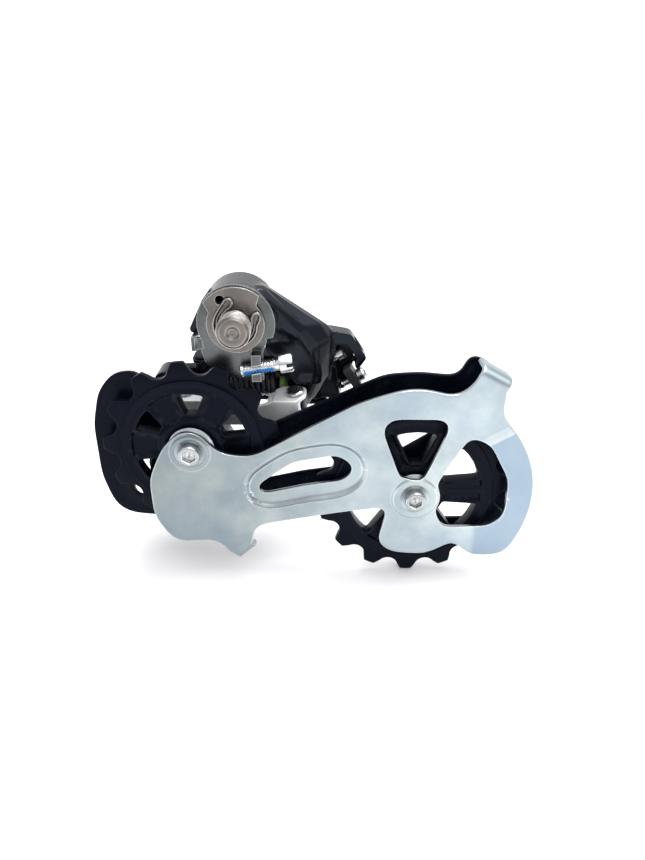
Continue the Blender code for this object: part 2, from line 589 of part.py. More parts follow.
limit_screw("limit_screw_high", HIGH_SCREW, -5.4)
limit_screw("limit_screw_low", LOW_SCREW, -7.4)
bush = turned([(5.3, 2.6), (6.2, 2.6), (6.2, 19.7), (5.3, 19.7)], (0, 0, 0), Y_AXIS, 24)
finish("bracket_bush", bush, BRONZE)

# ---------------------------------------------------------------- mounting end
bolt = turned([(0, -8.7), (1.9, BOLT_END + 0.1), (2.2, BOLT_END), (4.1, BOLT_END), (BOLT_R, -8.5), (BOLT_R, -2.8),
               (4.2, -2.8), (4.2, -1.5), (BOLT_R, -1.5), (BOLT_R, 20.3), (8.0, 20.3), (8.0, 24.0),
               (7.2, 24.8), (0, 24.8)], (0, 0, 0), Y_AXIS, 24)
bolt = cut(bolt, hexagon((0, 0, 0), Y_AXIS, 5.0, 21.0, 26.0))
finish("mounting_bolt", bolt, STEEL)

SPRING_HOLE = (-4.1, 7.5)
TAB = (4.4, 7.3)
plate_outline = (arc(0, 0, 11.7, -22, 205, 22)
                 + fillet([(-11.2, -7.6, 1), (-9.8, -12.4, 2), (-4.0, -16.4, 6), (3.0, -18.2, 5), (7.8, -18.0, 0.5),
                           (7.8, -9.0, 0.5), (9.3, -4.6, 0.5)]))
plate = prism(plate_outline, 0.0, 2.0)
tab = prism([(TAB[0], -16.8), (TAB[1], -16.8), (TAB[1], -8.4), (TAB[0], -8.4)], -4.4, 1.0)
hook = prism([(-13.9, -8.6), (-12.1, -8.6), (-12.1, -3.8), (-13.9, -4.4)], 0.6, 5.2)
neck = prism([(-12.8, -7.9), (-9.0, -8.2), (-9.0, -4.2), (-12.8, -4.5)], 0.3, 1.7)
plate = join(plate, tab, neck, hook)
SCREW_TIP = Vector((0.8, -2.4, -13.9))
B_SCREW_AXIS = Vector((16.0, 0.0, 2.8)).normalized()
plate = cut(plate, rod((0, 0, 0), Y_AXIS, 5.4, -3, 4, 32),
            rod((SPRING_HOLE[0], 0, SPRING_HOLE[1]), Y_AXIS, 1.4, -3, 4, 14),
            rod(SCREW_TIP, B_SCREW_AXIS, 2.3, 0, 12, 20))
finish("b_tension_plate", plate, ZINC)
screw = turned([(0, 0), (1.4, 0), (2.0, 0.7), (2.0, 12.2), (3.0, 12.2), (3.0, 15.9), (2.6, 16.3), (0, 16.3)],
               SCREW_TIP, B_SCREW_AXIS, 20)
u, v, w = basis(B_SCREW_AXIS)
slot = framed([(-4, -0.45), (4, -0.45), (4, 0.45), (-4, 0.45)], SCREW_TIP, (v, u, w), 14.8, 18.0)
finish("b_tension_screw", cut(screw, slot), BRIGHT, SCREW_TIP)

washer_outline = arc(0, 0, 8.7, 154, 402, 22) + arc(0, 0, 11.4, 50, 144, 9)
washer = prism(washer_outline, -1.3, -GAP)
washer = cut(washer, rod((0, 0, 0), Y_AXIS, 5.4, -3, 4, 32),
             rod((SPRING_HOLE[0], 0, SPRING_HOLE[1]), Y_AXIS, 1.4, -3, 4, 14))
finish("stopper_washer", washer, STEEL)
CLIP_OPEN = 74
clip_outer = arc(0, 0, 6.7, CLIP_OPEN + 52, CLIP_OPEN + 308, 20)
clip_inner = arc(0, 0, 4.5, CLIP_OPEN + 308, CLIP_OPEN + 52, 20)
finish("retaining_clip", prism(clip_outer + clip_inner, -2.5, -1.6), STEEL)
coil = helix((0, 4.2, 0), Y_AXIS, 7.9, 11.4, 4.5, 10, math.radians(60))
finish("bracket_torsion_spring", swept(coil, 0.9, 4), SPRING)
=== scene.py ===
"""Looks for the rear derailleur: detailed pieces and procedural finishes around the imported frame.

Pieces are worked out in millimetres and written in metres. X is the rear of the bicycle,
Y is outboard and Z is up, as in the frame.
"""

import json
import math

import bmesh
import bpy
import numpy as np
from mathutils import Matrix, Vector
from mathutils.geometry import delaunay_2d_cdt

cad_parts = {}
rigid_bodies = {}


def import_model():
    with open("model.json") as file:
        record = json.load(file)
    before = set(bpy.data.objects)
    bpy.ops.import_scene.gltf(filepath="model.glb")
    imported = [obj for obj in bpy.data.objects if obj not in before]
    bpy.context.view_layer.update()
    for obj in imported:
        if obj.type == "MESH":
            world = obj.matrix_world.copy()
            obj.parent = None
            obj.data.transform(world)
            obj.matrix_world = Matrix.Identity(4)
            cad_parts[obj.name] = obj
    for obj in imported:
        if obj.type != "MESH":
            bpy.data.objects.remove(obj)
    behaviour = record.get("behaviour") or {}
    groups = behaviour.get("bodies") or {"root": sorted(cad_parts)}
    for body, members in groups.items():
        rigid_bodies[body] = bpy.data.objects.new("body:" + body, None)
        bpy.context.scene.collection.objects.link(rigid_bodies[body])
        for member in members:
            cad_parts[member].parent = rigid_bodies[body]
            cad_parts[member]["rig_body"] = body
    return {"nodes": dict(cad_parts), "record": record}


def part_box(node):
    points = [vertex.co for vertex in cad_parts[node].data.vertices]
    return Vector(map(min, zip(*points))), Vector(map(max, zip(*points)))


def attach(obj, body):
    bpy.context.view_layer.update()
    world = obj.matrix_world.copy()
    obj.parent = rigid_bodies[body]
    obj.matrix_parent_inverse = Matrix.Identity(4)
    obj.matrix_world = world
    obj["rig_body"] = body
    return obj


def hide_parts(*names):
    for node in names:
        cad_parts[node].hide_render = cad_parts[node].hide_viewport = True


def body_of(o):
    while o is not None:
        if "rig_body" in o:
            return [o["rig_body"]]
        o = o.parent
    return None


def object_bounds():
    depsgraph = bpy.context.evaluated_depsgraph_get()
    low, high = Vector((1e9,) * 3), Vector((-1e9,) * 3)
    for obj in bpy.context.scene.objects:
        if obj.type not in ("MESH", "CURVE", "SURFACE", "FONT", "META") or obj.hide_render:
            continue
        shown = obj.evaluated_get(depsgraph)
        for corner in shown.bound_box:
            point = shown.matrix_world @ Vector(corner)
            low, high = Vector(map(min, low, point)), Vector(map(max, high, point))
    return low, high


MM = 0.001

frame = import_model()
CAD_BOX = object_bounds()
NODES = frame["nodes"]
JOINTS = {j["name"]: j for j in frame["record"]["behaviour"]["joints"]}
SLOTS = {s["node"]: s["material_slot"] for s in frame["record"]["subparts"]}


def node_box(name):
    low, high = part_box(name)
    return np.array(low) / MM, np.array(high) / MM


def joint_point(name):
    return np.array(JOINTS[name]["pos_m"]) / MM


def joint_axis(name):
    axis = np.array(JOINTS[name]["axis"], float)
    return axis / np.linalg.norm(axis)


def unit(v):
    v = np.array(v, float)
    return v / np.linalg.norm(v)


Y = np.array((0.0, 1.0, 0.0))
GUIDE = joint_point("guide_spin")
TENSION = joint_point("tension_spin")
B_OUT = joint_point("parallelogram")
P_OUT = joint_point("knuckle_pivot")
ALONG = unit(P_OUT - B_OUT)


# ---------------------------------------------------------------- materials
# left edge in millimetres of the painted highlight and bluish painted shade on the cage plate's stepped band
PAINTED_BAND_LEFT = 75.0
BLACK_SHEEN = (0.68, 0.80, 1.0)


class Look:
    """A node material with its shader and small helpers to wire it."""

    def __init__(self, name, rough=0.4, metal=0.0, specular=0.5, sheen=(1.0, 1.0, 1.0)):
        self.mat = bpy.data.materials.new(name)
        self.mat.use_nodes = True
        self.tree = self.mat.node_tree
        self.shader = self.tree.nodes["Principled BSDF"]
        self.shader.inputs["Metallic"].default_value = metal
        self.shader.inputs["Roughness"].default_value = rough
        self.shader.inputs["Specular IOR Level"].default_value = specular
        self.shader.inputs["Specular Tint"].default_value = (*sheen, 1.0)
        self.coords = self.add("ShaderNodeTexCoord").outputs["Object"]

    def add(self, kind, **values):
        node = self.tree.nodes.new(kind)
        for key, value in values.items():
            setattr(node, key, value)
        return node

    def link(self, out, socket):
        self.tree.links.new(out, socket)

    def noise(self, scale, detail=3.0, rough=0.55):
        """Fractal noise; scale is in features per metre."""
        node = self.add("ShaderNodeTexNoise")
        node.inputs["Scale"].default_value = scale
        node.inputs["Detail"].default_value = detail
        node.inputs["Roughness"].default_value = rough
        self.link(self.coords, node.inputs["Vector"])
        return node.outputs["Fac"]

    def remap(self, value, a, b, c, d):
        node = self.add("ShaderNodeMapRange")
        for socket, number in zip(node.inputs[1:5], (a, b, c, d)):
            socket.default_value = number
        self.link(value, node.inputs[0])
        return node.outputs[0]

    def math(self, kind, a, b):
        node = self.add("ShaderNodeMath", operation=kind)
        for socket, value in zip(node.inputs, (a, b)):
            if isinstance(value, (int, float)):
                socket.default_value = value
            else:
                self.link(value, socket)
        return node.outputs[0]

    def mix(self, factor, first, second):
        node = self.add("ShaderNodeMix", data_type="RGBA")
        for socket, value in zip((node.inputs[0], node.inputs[6], node.inputs[7]), (factor, first, second)):
            if isinstance(value, tuple):
                socket.default_value = (*value, 1.0)
            elif isinstance(value, (int, float)):
                socket.default_value = value
            else:
                self.link(value, socket)
        return node.outputs[2]

    def ramp(self, value, stops):
        node = self.add("ShaderNodeValToRGB")
        ramp = node.color_ramp
        while len(ramp.elements) < len(stops):
            ramp.elements.new(0.5)
        for element, (place, colour) in zip(ramp.elements, stops):
            element.position = place
            element.color = (*colour, 1.0)
        self.link(value, node.inputs["Fac"])
        return node.outputs["Color"]

    def edge(self, radius):
        """0 on flat faces and up to 1 along edges, from a rounded normal."""
        bevel = self.add("ShaderNodeBevel", samples=4)
        bevel.inputs["Radius"].default_value = radius
        plain = self.add("ShaderNodeNewGeometry")
        dot = self.add("ShaderNodeVectorMath", operation="DOT_PRODUCT")
        self.link(bevel.outputs["Normal"], dot.inputs[0])
        self.link(plain.outputs["True Normal"], dot.inputs[1])
        return self.remap(dot.outputs["Value"], 0.995, 0.90, 0.0, 1.0)

    def colour(self, out):
        self.link(out, self.shader.inputs["Base Color"])

    def roughness(self, out):
        self.link(out, self.shader.inputs["Roughness"])

    def bump(self, out, strength, distance):
        node = self.add("ShaderNodeBump")
        node.inputs["Strength"].default_value = strength
        node.inputs["Distance"].default_value = distance
        self.link(out, node.inputs["Height"])
        previous = self.shader.inputs["Normal"]
        if previous.is_linked:
            self.link(previous.links[0].from_socket, node.inputs["Normal"])
        self.link(node.outputs["Normal"], previous)


def plated(name, dark, pale, tint, edge_highlight_and_wear, rough=(0.28, 0.42), metal=1.0, painted_light_span=None, strip=None):
    """Zinc or nickel plate: cloudy colour, faint tint drift, fine pits and brightened edges, partly rubbed
    plating and partly a painted highlight; on request painted light and shade along X and a painted highlight
    and bluish painted shade on a stepped band.
    """
    look = Look(name, metal=metal)
    clouds = look.noise(70, 5, 0.6)
    colour = look.mix(look.remap(clouds, 0.35, 0.68, 0, 1), dark, pale)
    drift = look.noise(22, 2, 0.5)
    colour = look.mix(look.remap(drift, 0.45, 0.75, 0, 0.55), colour, tint)
    # painted light and shade: darker toward the left of the plate, brighter toward the right
    if painted_light_span:
        colour = painted_light_along_x(look, colour, painted_light_span)
    if strip:
        # painted highlight along the stepped band's bend line, and bluish painted shade over the band beyond
        # it
        past = beyond_line(look, *strip, 2.8, 3.4)
        lip = look.math("SUBTRACT", beyond_line(look, *strip, -0.3, 0.3), past)
        rim = beyond_line(look, (PAINTED_BAND_LEFT, 0.0), (PAINTED_BAND_LEFT, 1.0), -1.0, 1.0)
        colour = look.mix(look.math("MULTIPLY", look.math("MULTIPLY", lip, rim), 0.25), colour, edge_highlight_and_wear)
        painted_band_shade = look.math("MULTIPLY", past, rim)
        colour = look.mix(look.math("MULTIPLY", painted_band_shade, 0.75), colour, tint)
    # edges brightened toward the edge colour: partly rubbed plating, partly a painted highlight
    edge = look.edge(0.45 * MM)
    colour = look.mix(look.math("MULTIPLY", edge, 0.9), colour, edge_highlight_and_wear)
    look.colour(colour)
    grain = look.noise(900, 4, 0.65)
    look.roughness(look.remap(look.math("ADD", grain, look.math("MULTIPLY", clouds, 0.6)), 0.5, 1.1, *rough))
    look.bump(grain, 0.10, 0.05 * MM)
    look.bump(look.noise(140, 3, 0.5), 0.12, 0.08 * MM)
    return look.mat


def painted_light_along_x(look, colour, painted_light_span):
    """Painted light and shade: scale a colour along X between two distances in millimetres, from a darker
    factor to a brighter one.
    """
    start, stop, dark, pale = painted_light_span
    place = look.add("ShaderNodeSeparateXYZ")
    look.link(look.coords, place.inputs[0])
    level = look.remap(place.outputs["X"], start * MM, stop * MM, dark, pale)
    node = look.add("ShaderNodeVectorMath", operation="SCALE")
    look.link(colour, node.inputs[0])
    look.link(level, node.inputs["Scale"])
    return node.outputs[0]


def beyond_line(look, a, b, start, stop):
    """0 to 1 across a strip to the right of the line from a to b, both in millimetres."""
    run = unit(np.array(b) - np.array(a))
    place = look.add("ShaderNodeSeparateXYZ")
    look.link(look.coords, place.inputs[0])
    across = look.math("MULTIPLY", place.outputs["X"], float(run[1]))
    across = look.math("SUBTRACT", across, look.math("MULTIPLY", place.outputs["Z"], float(run[0])))
    offset = (a[0] * run[1] - a[1] * run[0]) * MM
    return look.remap(look.math("SUBTRACT", across, float(offset)), start * MM, stop * MM, 0, 1)


def blacked(name, base, pale, rough, grain_scale, grain, specular, metal=0.0, wear=0.25):
    """Black paint, oxide or moulded resin with dust, soft mottling and rubbed edges."""
    look = Look(name, metal=metal, specular=specular, sheen=BLACK_SHEEN)
    clouds = look.noise(60, 4, 0.6)
    colour = look.mix(look.remap(clouds, 0.35, 0.7, 0, 1), base, tuple(c * 1.5 for c in base))
    dust = look.noise(420, 6, 0.7)
    colour = look.mix(look.remap(dust, 0.68, 0.84, 0, 0.015), colour, pale)
    colour = look.mix(look.math("MULTIPLY", look.edge(0.30 * MM), wear), colour, pale)
    look.colour(colour)
    fine = look.noise(grain_scale, 3, 0.6)
    look.roughness(look.remap(look.math("ADD", fine, clouds), 0.7, 1.3, rough[0], rough[1]))
    look.bump(fine, grain, 0.05 * MM)
    return look.mat


MATS = {
    "zinc": plated("zinc_plate", (0.225, 0.270, 0.295), (0.375, 0.425, 0.430), (0.25, 0.32, 0.39),
                   (0.90, 0.92, 0.93), (0.27, 0.36)),
    "steel": plated("satin_steel", (0.11, 0.10, 0.093), (0.20, 0.187, 0.173), (0.18, 0.155, 0.14),
                    (0.72, 0.70, 0.68), (0.24, 0.38)),
    "bright_zinc": plated("bright_plate", (0.30, 0.31, 0.31), (0.52, 0.53, 0.52), (0.42, 0.46, 0.50),
                          (0.97, 0.97, 0.97), (0.16, 0.30)),
    "black_oxide": blacked("black_oxide", (0.014, 0.014, 0.016), (0.20, 0.20, 0.21), (0.28, 0.42),
                           1500, 0.04, 0.3),
    "black_paint": blacked("satin_black_paint", (0.0028, 0.0028, 0.0042), (0.10, 0.105, 0.12), (0.17, 0.28),
                           1400, 0.03, 0.30, wear=0.08),
    "black_steel": blacked("black_plate", (0.0013, 0.0018, 0.0050), (0.10, 0.10, 0.12), (0.24, 0.34),
                           1200, 0.02, 0.10, wear=0.10),
    "black_resin": blacked("black_resin", (0.0014, 0.0018, 0.0050), (0.08, 0.08, 0.10), (0.28, 0.42),
                           1700, 0.05, 0.10, wear=0.12),
    "spring_steel": blacked("spring_wire", (0.008, 0.008, 0.008), (0.25, 0.24, 0.23), (0.20, 0.34),
                            900, 0.05, 0.5, metal=0.0, wear=0.2),
    "green_nylon": blacked("green_nylon", (0.10, 0.17, 0.045), (0.42, 0.50, 0.30), (0.38, 0.52),
                           900, 0.08, 0.4),
    "bronze": plated("bronze", (0.36, 0.25, 0.13), (0.50, 0.37, 0.20), (0.42, 0.33, 0.22),
                     (0.75, 0.62, 0.42)),
    "grey_resin": blacked("grey_resin", (0.030, 0.031, 0.036), (0.26, 0.26, 0.27), (0.30, 0.46),
                          1200, 0.08, 0.4),
}
# zinc for the stopper plate, darkened partly for its dull finish and partly as painted shade for the shadow it
# lies in
DULL_ZINC_DARKENED_FOR_SHADE = plated("dull_zinc_darkened_for_shade", (0.075, 0.080, 0.082), (0.160, 0.168, 0.168), (0.10, 0.115, 0.13),
                   (0.42, 0.43, 0.43), (0.22, 0.36))
BAND_TOP = ((75.7, -32.6), (81.8, -29.0))
# the cage plate's zinc, with painted light and shade along X and a painted highlight and bluish painted shade
# on its stepped band
CAGE_ZINC_WITH_PAINTED_LIGHT = plated("cage_plate_zinc_painted_light", (0.26, 0.31, 0.335), (0.39, 0.435, 0.440), (0.25, 0.33, 0.42),
                   (0.90, 0.92, 0.93), (0.27, 0.36), 1.0, (-25.0, 75.0, 0.68, 1.35), BAND_TOP)
LINK_PLATE = plated("link_plate", (0.66, 0.67, 0.67), (0.90, 0.91, 0.90), (0.78, 0.82, 0.85),
                    (0.97, 0.97, 0.97), (0.34, 0.46), 0.45)


def locked_thread(name, centre, axis, start, stop):
    """Bright thread with blue locking compound on its lower half between two distances along the axis."""
    look = Look(name, metal=1.0)
    clouds = look.noise(260, 4, 0.6)
    plate = look.mix(look.remap(clouds, 0.3, 0.7, 0, 1), (0.62, 0.63, 0.63), (0.86, 0.87, 0.87))
    place = look.add("ShaderNodeSeparateXYZ")
    look.link(look.coords, place.inputs[0])
    ragged = look.noise(500, 4, 0.7)
    height = look.math("ADD", place.outputs["Z"], look.math("MULTIPLY", ragged, 1.2 * MM))
    slope = axis[2] / axis[0]
    middle = look.math("MULTIPLY", place.outputs["X"], slope)
    offset = (centre[2] - slope * centre[0]) * MM
    below = look.math("SUBTRACT", look.math("ADD", middle, offset + 0.55 * MM), height)
    low = look.remap(below, -0.1 * MM, 0.2 * MM, 0, 1)
    left = look.remap(place.outputs["X"], (start - 0.4) * MM, start * MM, 0, 1)
    right = look.remap(place.outputs["X"], stop * MM, (stop + 0.5) * MM, 1, 0)
    mask = look.math("MULTIPLY", low, look.math("MULTIPLY", left, right))
    mask = look.math("MULTIPLY", mask, look.remap(clouds, 0.30, 0.42, 0.35, 1.0))
    look.colour(look.mix(mask, plate, (0.03, 0.21, 0.55)))
    look.link(look.remap(mask, 0, 1, 1, 0.1), look.shader.inputs["Metallic"])
    look.roughness(look.remap(look.math("ADD", mask, clouds), 0.4, 1.5, 0.2, 0.5))
    look.bump(ragged, 0.08, 0.05 * MM)
    return look.mat


# ---------------------------------------------------------------- mesh helpers
def solid_mesh(name, verts, faces):
    """A mesh in metres from points in millimetres, with its normals outward."""
    mesh = bpy.data.meshes.new(name)
    points = [tuple(float(c) * MM for c in v) for v in verts]
    mesh.from_pydata(points, [], [tuple(int(i) for i in f) for f in faces])
    mesh.validate()
    bm = bmesh.new()
    bm.from_mesh(mesh)
    bmesh.ops.recalc_face_normals(bm, faces=bm.faces)
    bm.to_mesh(mesh)
    bm.free()
    return mesh


def add_piece(name, verts, faces, body, slot, replaces=(), mat=None, sharp=None):
    mesh = solid_mesh(name, verts, faces)
    mesh.shade_smooth()
    if sharp:
        mesh.set_sharp_from_angle(angle=math.radians(sharp))
    return register(bpy.data.objects.new(name, mesh), body, slot, replaces, mat)


def register(obj, body, slot, replaces=(), mat=None):
    if obj.name not in bpy.context.scene.collection.objects:
        bpy.context.scene.collection.objects.link(obj)
    obj.data.materials.clear()
    obj.data.materials.append(mat or MATS[slot])
    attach(obj, body)
    if replaces:
        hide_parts(*replaces)
    return obj


def basis(axis):
    axis = unit(axis)
    side = np.array((1.0, 0, 0)) if abs(axis[0]) < 0.9 else np.array((0, 0, 1.0))
    u = unit(side - axis * side.dot(axis))
    return u, np.cross(axis, u), axis


def spindle(node, axis):
    """Where a round node's axis starts, how long it is and how wide."""
    u, v, w = basis(axis)
    points = np.array([tuple(p.co) for p in NODES[node].data.vertices]) / MM
    a, b, d = points @ u, points @ v, points @ w
    centre = u * (a.min() + a.max()) / 2 + v * (b.min() + b.max()) / 2 + w * d.min()
    return centre, d.max() - d.min(), (a.max() - a.min()) / 2


def rings_mesh(rings, closed=False):
    """Faces for a stack of equal rings: joined end to end, or with a fan at each end."""
    count = len(rings[0])
    verts = [tuple(p) for ring in rings for p in ring]
    faces = []
    for k in range(len(rings) - 1):
        for i in range(count):
            j = (i + 1) % count
            faces.append((k * count + i, k * count + j, (k + 1) * count + j, (k + 1) * count + i))
    if closed:
        top = (len(rings) - 1) * count
        for i in range(count):
            j = (i + 1) % count
            faces.append((top + i, top + j, j, i))
    else:
        for k, ring in ((0, rings[0]), (len(rings) - 1, rings[-1])):
            verts.append(tuple(np.mean(ring, axis=0)))
            middle = len(verts) - 1
            for i in range(count):
                faces.append((k * count + i, k * count + (i + 1) % count, middle))
    return verts, faces


def turned(profile, base, axis, segments=64, closed=False):
    """Rings for a profile of (radius, distance); a radius may be a function of angle."""
    u, v, w = basis(axis)
    rings = []
    for r, d in profile:
        ring = []
        for i in range(segments):
            a = 2 * math.pi * i / segments
            radius = r(a) if callable(r) else r
            ring.append(base + w * d + (u * math.cos(a) + v * math.sin(a)) * max(radius, 0.001))
        rings.append(ring)
    return rings_mesh(rings, closed=closed)


def thread_profile(radius, start, stop, pitch, depth, per_pitch=8):
    """Profile rows of a helical thread between two distances."""
    rows = []
    count = max(2, int((stop - start) / pitch * per_pitch))
    for k in range(count + 1):
        d = start + (stop - start) * k / count
        fade = min(1.0, (d - start) / pitch, (stop - d) / pitch)

        def ring(a, d=d, fade=fade):
            phase = (d / pitch - a / (2 * math.pi)) % 1.0
            return radius - depth * fade * abs(math.cos(math.pi * phase)) ** 1.2

        rows.append((ring, d))
    return rows


def swept(path, r, sides=12):
    """Round wire of radius r along points."""
    path = np.array(path)
    last = len(path) - 1
    normal = None
    rings = []
    for i, p in enumerate(path):
        tangent = unit(path[min(i + 1, last)] - path[max(i - 1, 0)])
        if normal is None:
            normal = basis(tangent)[0]
        normal = unit(normal - tangent * normal.dot(tangent))
        other = np.cross(tangent, normal)
        angles = [2 * math.pi * k / sides for k in range(sides)]
        rings.append([p + normal * math.cos(a) * r + other * math.sin(a) * r for a in angles])
    return rings_mesh(rings)


def ribbon(path, r, wide, sides=12):
    """An oval wire along a flat path, its wide axis along Y."""
    path = np.array(path)
    last = len(path) - 1
    rings = []
    for i, p in enumerate(path):
        side = unit(np.cross(unit(path[min(i + 1, last)] - path[max(i - 1, 0)]), Y))
        angles = [2 * math.pi * k / sides for k in range(sides)]
        rings.append([p + side * math.cos(a) * r + Y * math.sin(a) * wide for a in angles])
    return rings_mesh(rings)


def bevelled(node, width=0.25, segments=2, angle=35, mat=None):
    """A copy of a CAD node with its edges rounded."""
    body = body_of(NODES[node])[0]
    bm = bmesh.new()
    bm.from_mesh(NODES[node].data)
    bmesh.ops.remove_doubles(bm, verts=bm.verts, dist=0.002 * MM)
    bmesh.ops.dissolve_limit(bm, angle_limit=math.radians(2), verts=bm.verts, edges=bm.edges)
    mesh = bpy.data.meshes.new(node + "_finish")
    bm.to_mesh(mesh)
    bm.free()
    mesh.shade_smooth()
    mesh.set_sharp_from_angle(angle=math.radians(angle))
    obj = bpy.data.objects.new(node + "_finish", mesh)
    mod = obj.modifiers.new("round", "BEVEL")
    mod.width = width * MM
    mod.segments = segments
    mod.limit_method = "ANGLE"
    mod.angle_limit = math.radians(angle)
    mod.use_clamp_overlap = True
    mod.harden_normals = True
    return register(obj, body, SLOTS[node], (node,), mat)


def softened(node, voxel=0.3, smooth=6, mat=None):
    """A cast or pressed version of a CAD node: every edge blended round."""
    body = body_of(NODES[node])[0]
    obj = bpy.data.objects.new(node + "_finish", NODES[node].data.copy())
    bpy.context.scene.collection.objects.link(obj)
    remesh = obj.modifiers.new("blend", "REMESH")
    remesh.mode = "VOXEL"
    remesh.voxel_size = voxel * MM
    relax = obj.modifiers.new("relax", "SMOOTH")
    relax.factor = 0.5
    relax.iterations = smooth
    graph = bpy.context.evaluated_depsgraph_get()
    mesh = bpy.data.meshes.new_from_object(obj.evaluated_get(graph))
    obj.modifiers.clear()
    obj.data = mesh
    mesh.shade_smooth()
    return register(obj, body, SLOTS[node], (node,), mat)


# ---------------------------------------------------------------- outlines and relief plates
def area(loop):
    x, z = loop[:, 0], loop[:, 1]
    return 0.5 * float(np.sum(x * np.roll(z, -1) - np.roll(x, -1) * z))


def face_loops(node, level, tol=0.02):
    """Boundary loops (x, z) of a node's flat face at y = level, the largest first."""
    mesh = NODES[node].data
    keys = [tuple(round(c / MM, 2) for c in v.co) for v in mesh.vertices]
    edges = {}
    for poly in mesh.polygons:
        ring = [keys[i] for i in poly.vertices]
        if all(abs(p[1] - level) < tol for p in ring):
            for a, b in zip(ring, ring[1:] + ring[:1]):
                edges[(a, b)] = edges.get((a, b), 0) + 1
    after = {a: b for (a, b) in edges if (b, a) not in edges}
    loops = []
    while after:
        start = next(iter(after))
        loop, here = [], start
        while here in after:
            loop.append((here[0], here[2]))
            here = after.pop(here)
        if len(loop) > 2:
            loops.append(np.array(loop))
    return sorted(loops, key=lambda p: -abs(area(p)))


def smooth_loop(loop, spacing=0.6, corner=40.0):
    """Resample a loop: arcs become curves, long sides stay straight, sharp corners stay."""
    count = len(loop)
    ahead = np.roll(loop, -1, axis=0) - loop
    length = np.linalg.norm(ahead, axis=1)
    direction = ahead / length[:, None]
    out = []
    for i in range(count):
        tangents = []
        for k in (i, (i + 1) % count):
            a, b = direction[k - 1], direction[k]
            la, lb = length[k - 1], length[k]
            turn = math.degrees(math.acos(float(np.clip(a.dot(b), -1, 1))))
            if turn > corner:
                tangents.append(direction[i])
            elif lb > 2.5 * la:
                tangents.append(b)
            elif la > 2.5 * lb:
                tangents.append(a)
            else:
                tangents.append(unit(a * lb + b * la))
        p, q = loop[i], loop[(i + 1) % count]
        steps = max(1, int(round(length[i] / spacing)))
        for s in range(steps):
            t = s / steps
            h = (2 * t ** 3 - 3 * t ** 2 + 1, t ** 3 - 2 * t ** 2 + t,
                 -2 * t ** 3 + 3 * t ** 2, t ** 3 - t ** 2)
            start, end = tangents[0] * length[i], tangents[1] * length[i]
            out.append(h[0] * p + h[1] * start + h[2] * q + h[3] * end)
    return np.array(out)


def eased(loop, spacing, blend):
    """Resample a loop evenly and round it off over a distance of about blend."""
    closed = np.vstack([loop, loop[:1]])
    along = np.concatenate([[0], np.cumsum(np.linalg.norm(np.diff(closed, axis=0), axis=1))])
    count = int(along[-1] / spacing)
    at = np.arange(count) * along[-1] / count
    points = np.column_stack([np.interp(at, along, closed[:, k]) for k in (0, 1)])
    reach = int(3 * blend / spacing)
    weights = np.exp(-0.5 * (np.arange(-reach, reach + 1) * spacing / blend) ** 2)
    shares = zip(range(-reach, reach + 1), weights / weights.sum())
    return sum(w * np.roll(points, k, axis=0) for k, w in shares)


def inside(points, loop):
    x, z = points[:, 0], points[:, 1]
    found = np.zeros(len(points), bool)
    for (x0, z0), (x1, z1) in zip(loop, np.roll(loop, -1, axis=0)):
        if z0 == z1:
            continue
        crosses = (z0 > z) != (z1 > z)
        found ^= crosses & (x < (x1 - x0) * (z - z0) / (z1 - z0) + x0)
    return found


def distance_to(points, loop):
    best = np.full(len(points), 1e9)
    for a, b in zip(loop, np.roll(loop, -1, axis=0)):
        d = b - a
        t = np.clip(((points - a) @ d) / max(float(d @ d), 1e-9), 0, 1)
        best = np.minimum(best, np.linalg.norm(points - a - t[:, None] * d, axis=1))
    return best


def above(loop, a, b):
    """The part of a loop that lies to the left of the line from a to b."""
    side = unit(np.array(b) - np.array(a))
    d = (loop - np.array(a)) @ np.array((side[1], -side[0]))
    kept = []
    for p, q, dp, dq in zip(loop, np.roll(loop, -1, axis=0), d, np.roll(d, -1)):
        if dp <= 0:
            kept.append(p)
        if (dp <= 0) != (dq <= 0):
            kept.append(p + (q - p) * dp / (dp - dq))
    return np.array(kept)


def inset(loop, r):
    """Move a loop into the material, which lies on its left."""
    before = loop - np.roll(loop, 1, axis=0)
    ahead = np.roll(loop, -1, axis=0) - loop
    normals = []
    for a, b in zip(before, ahead):
        a, b = unit(a), unit(b)
        bisector = unit(np.array((-a[1] - b[1], a[0] + b[0])) + 1e-9)
        stretch = 1 / max(0.5, float(bisector @ np.array((-b[1], b[0]))))
        normals.append(bisector * stretch)
    return loop + np.array(normals) * r


# degrees round the edge, front (0) or back (1) face, and the way its depth is measured
EDGE_STEPS = ((30, 0, 1), (60, 0, 1), (90, 0, 1), (90, 1, -1), (60, 1, -1), (30, 1, -1))


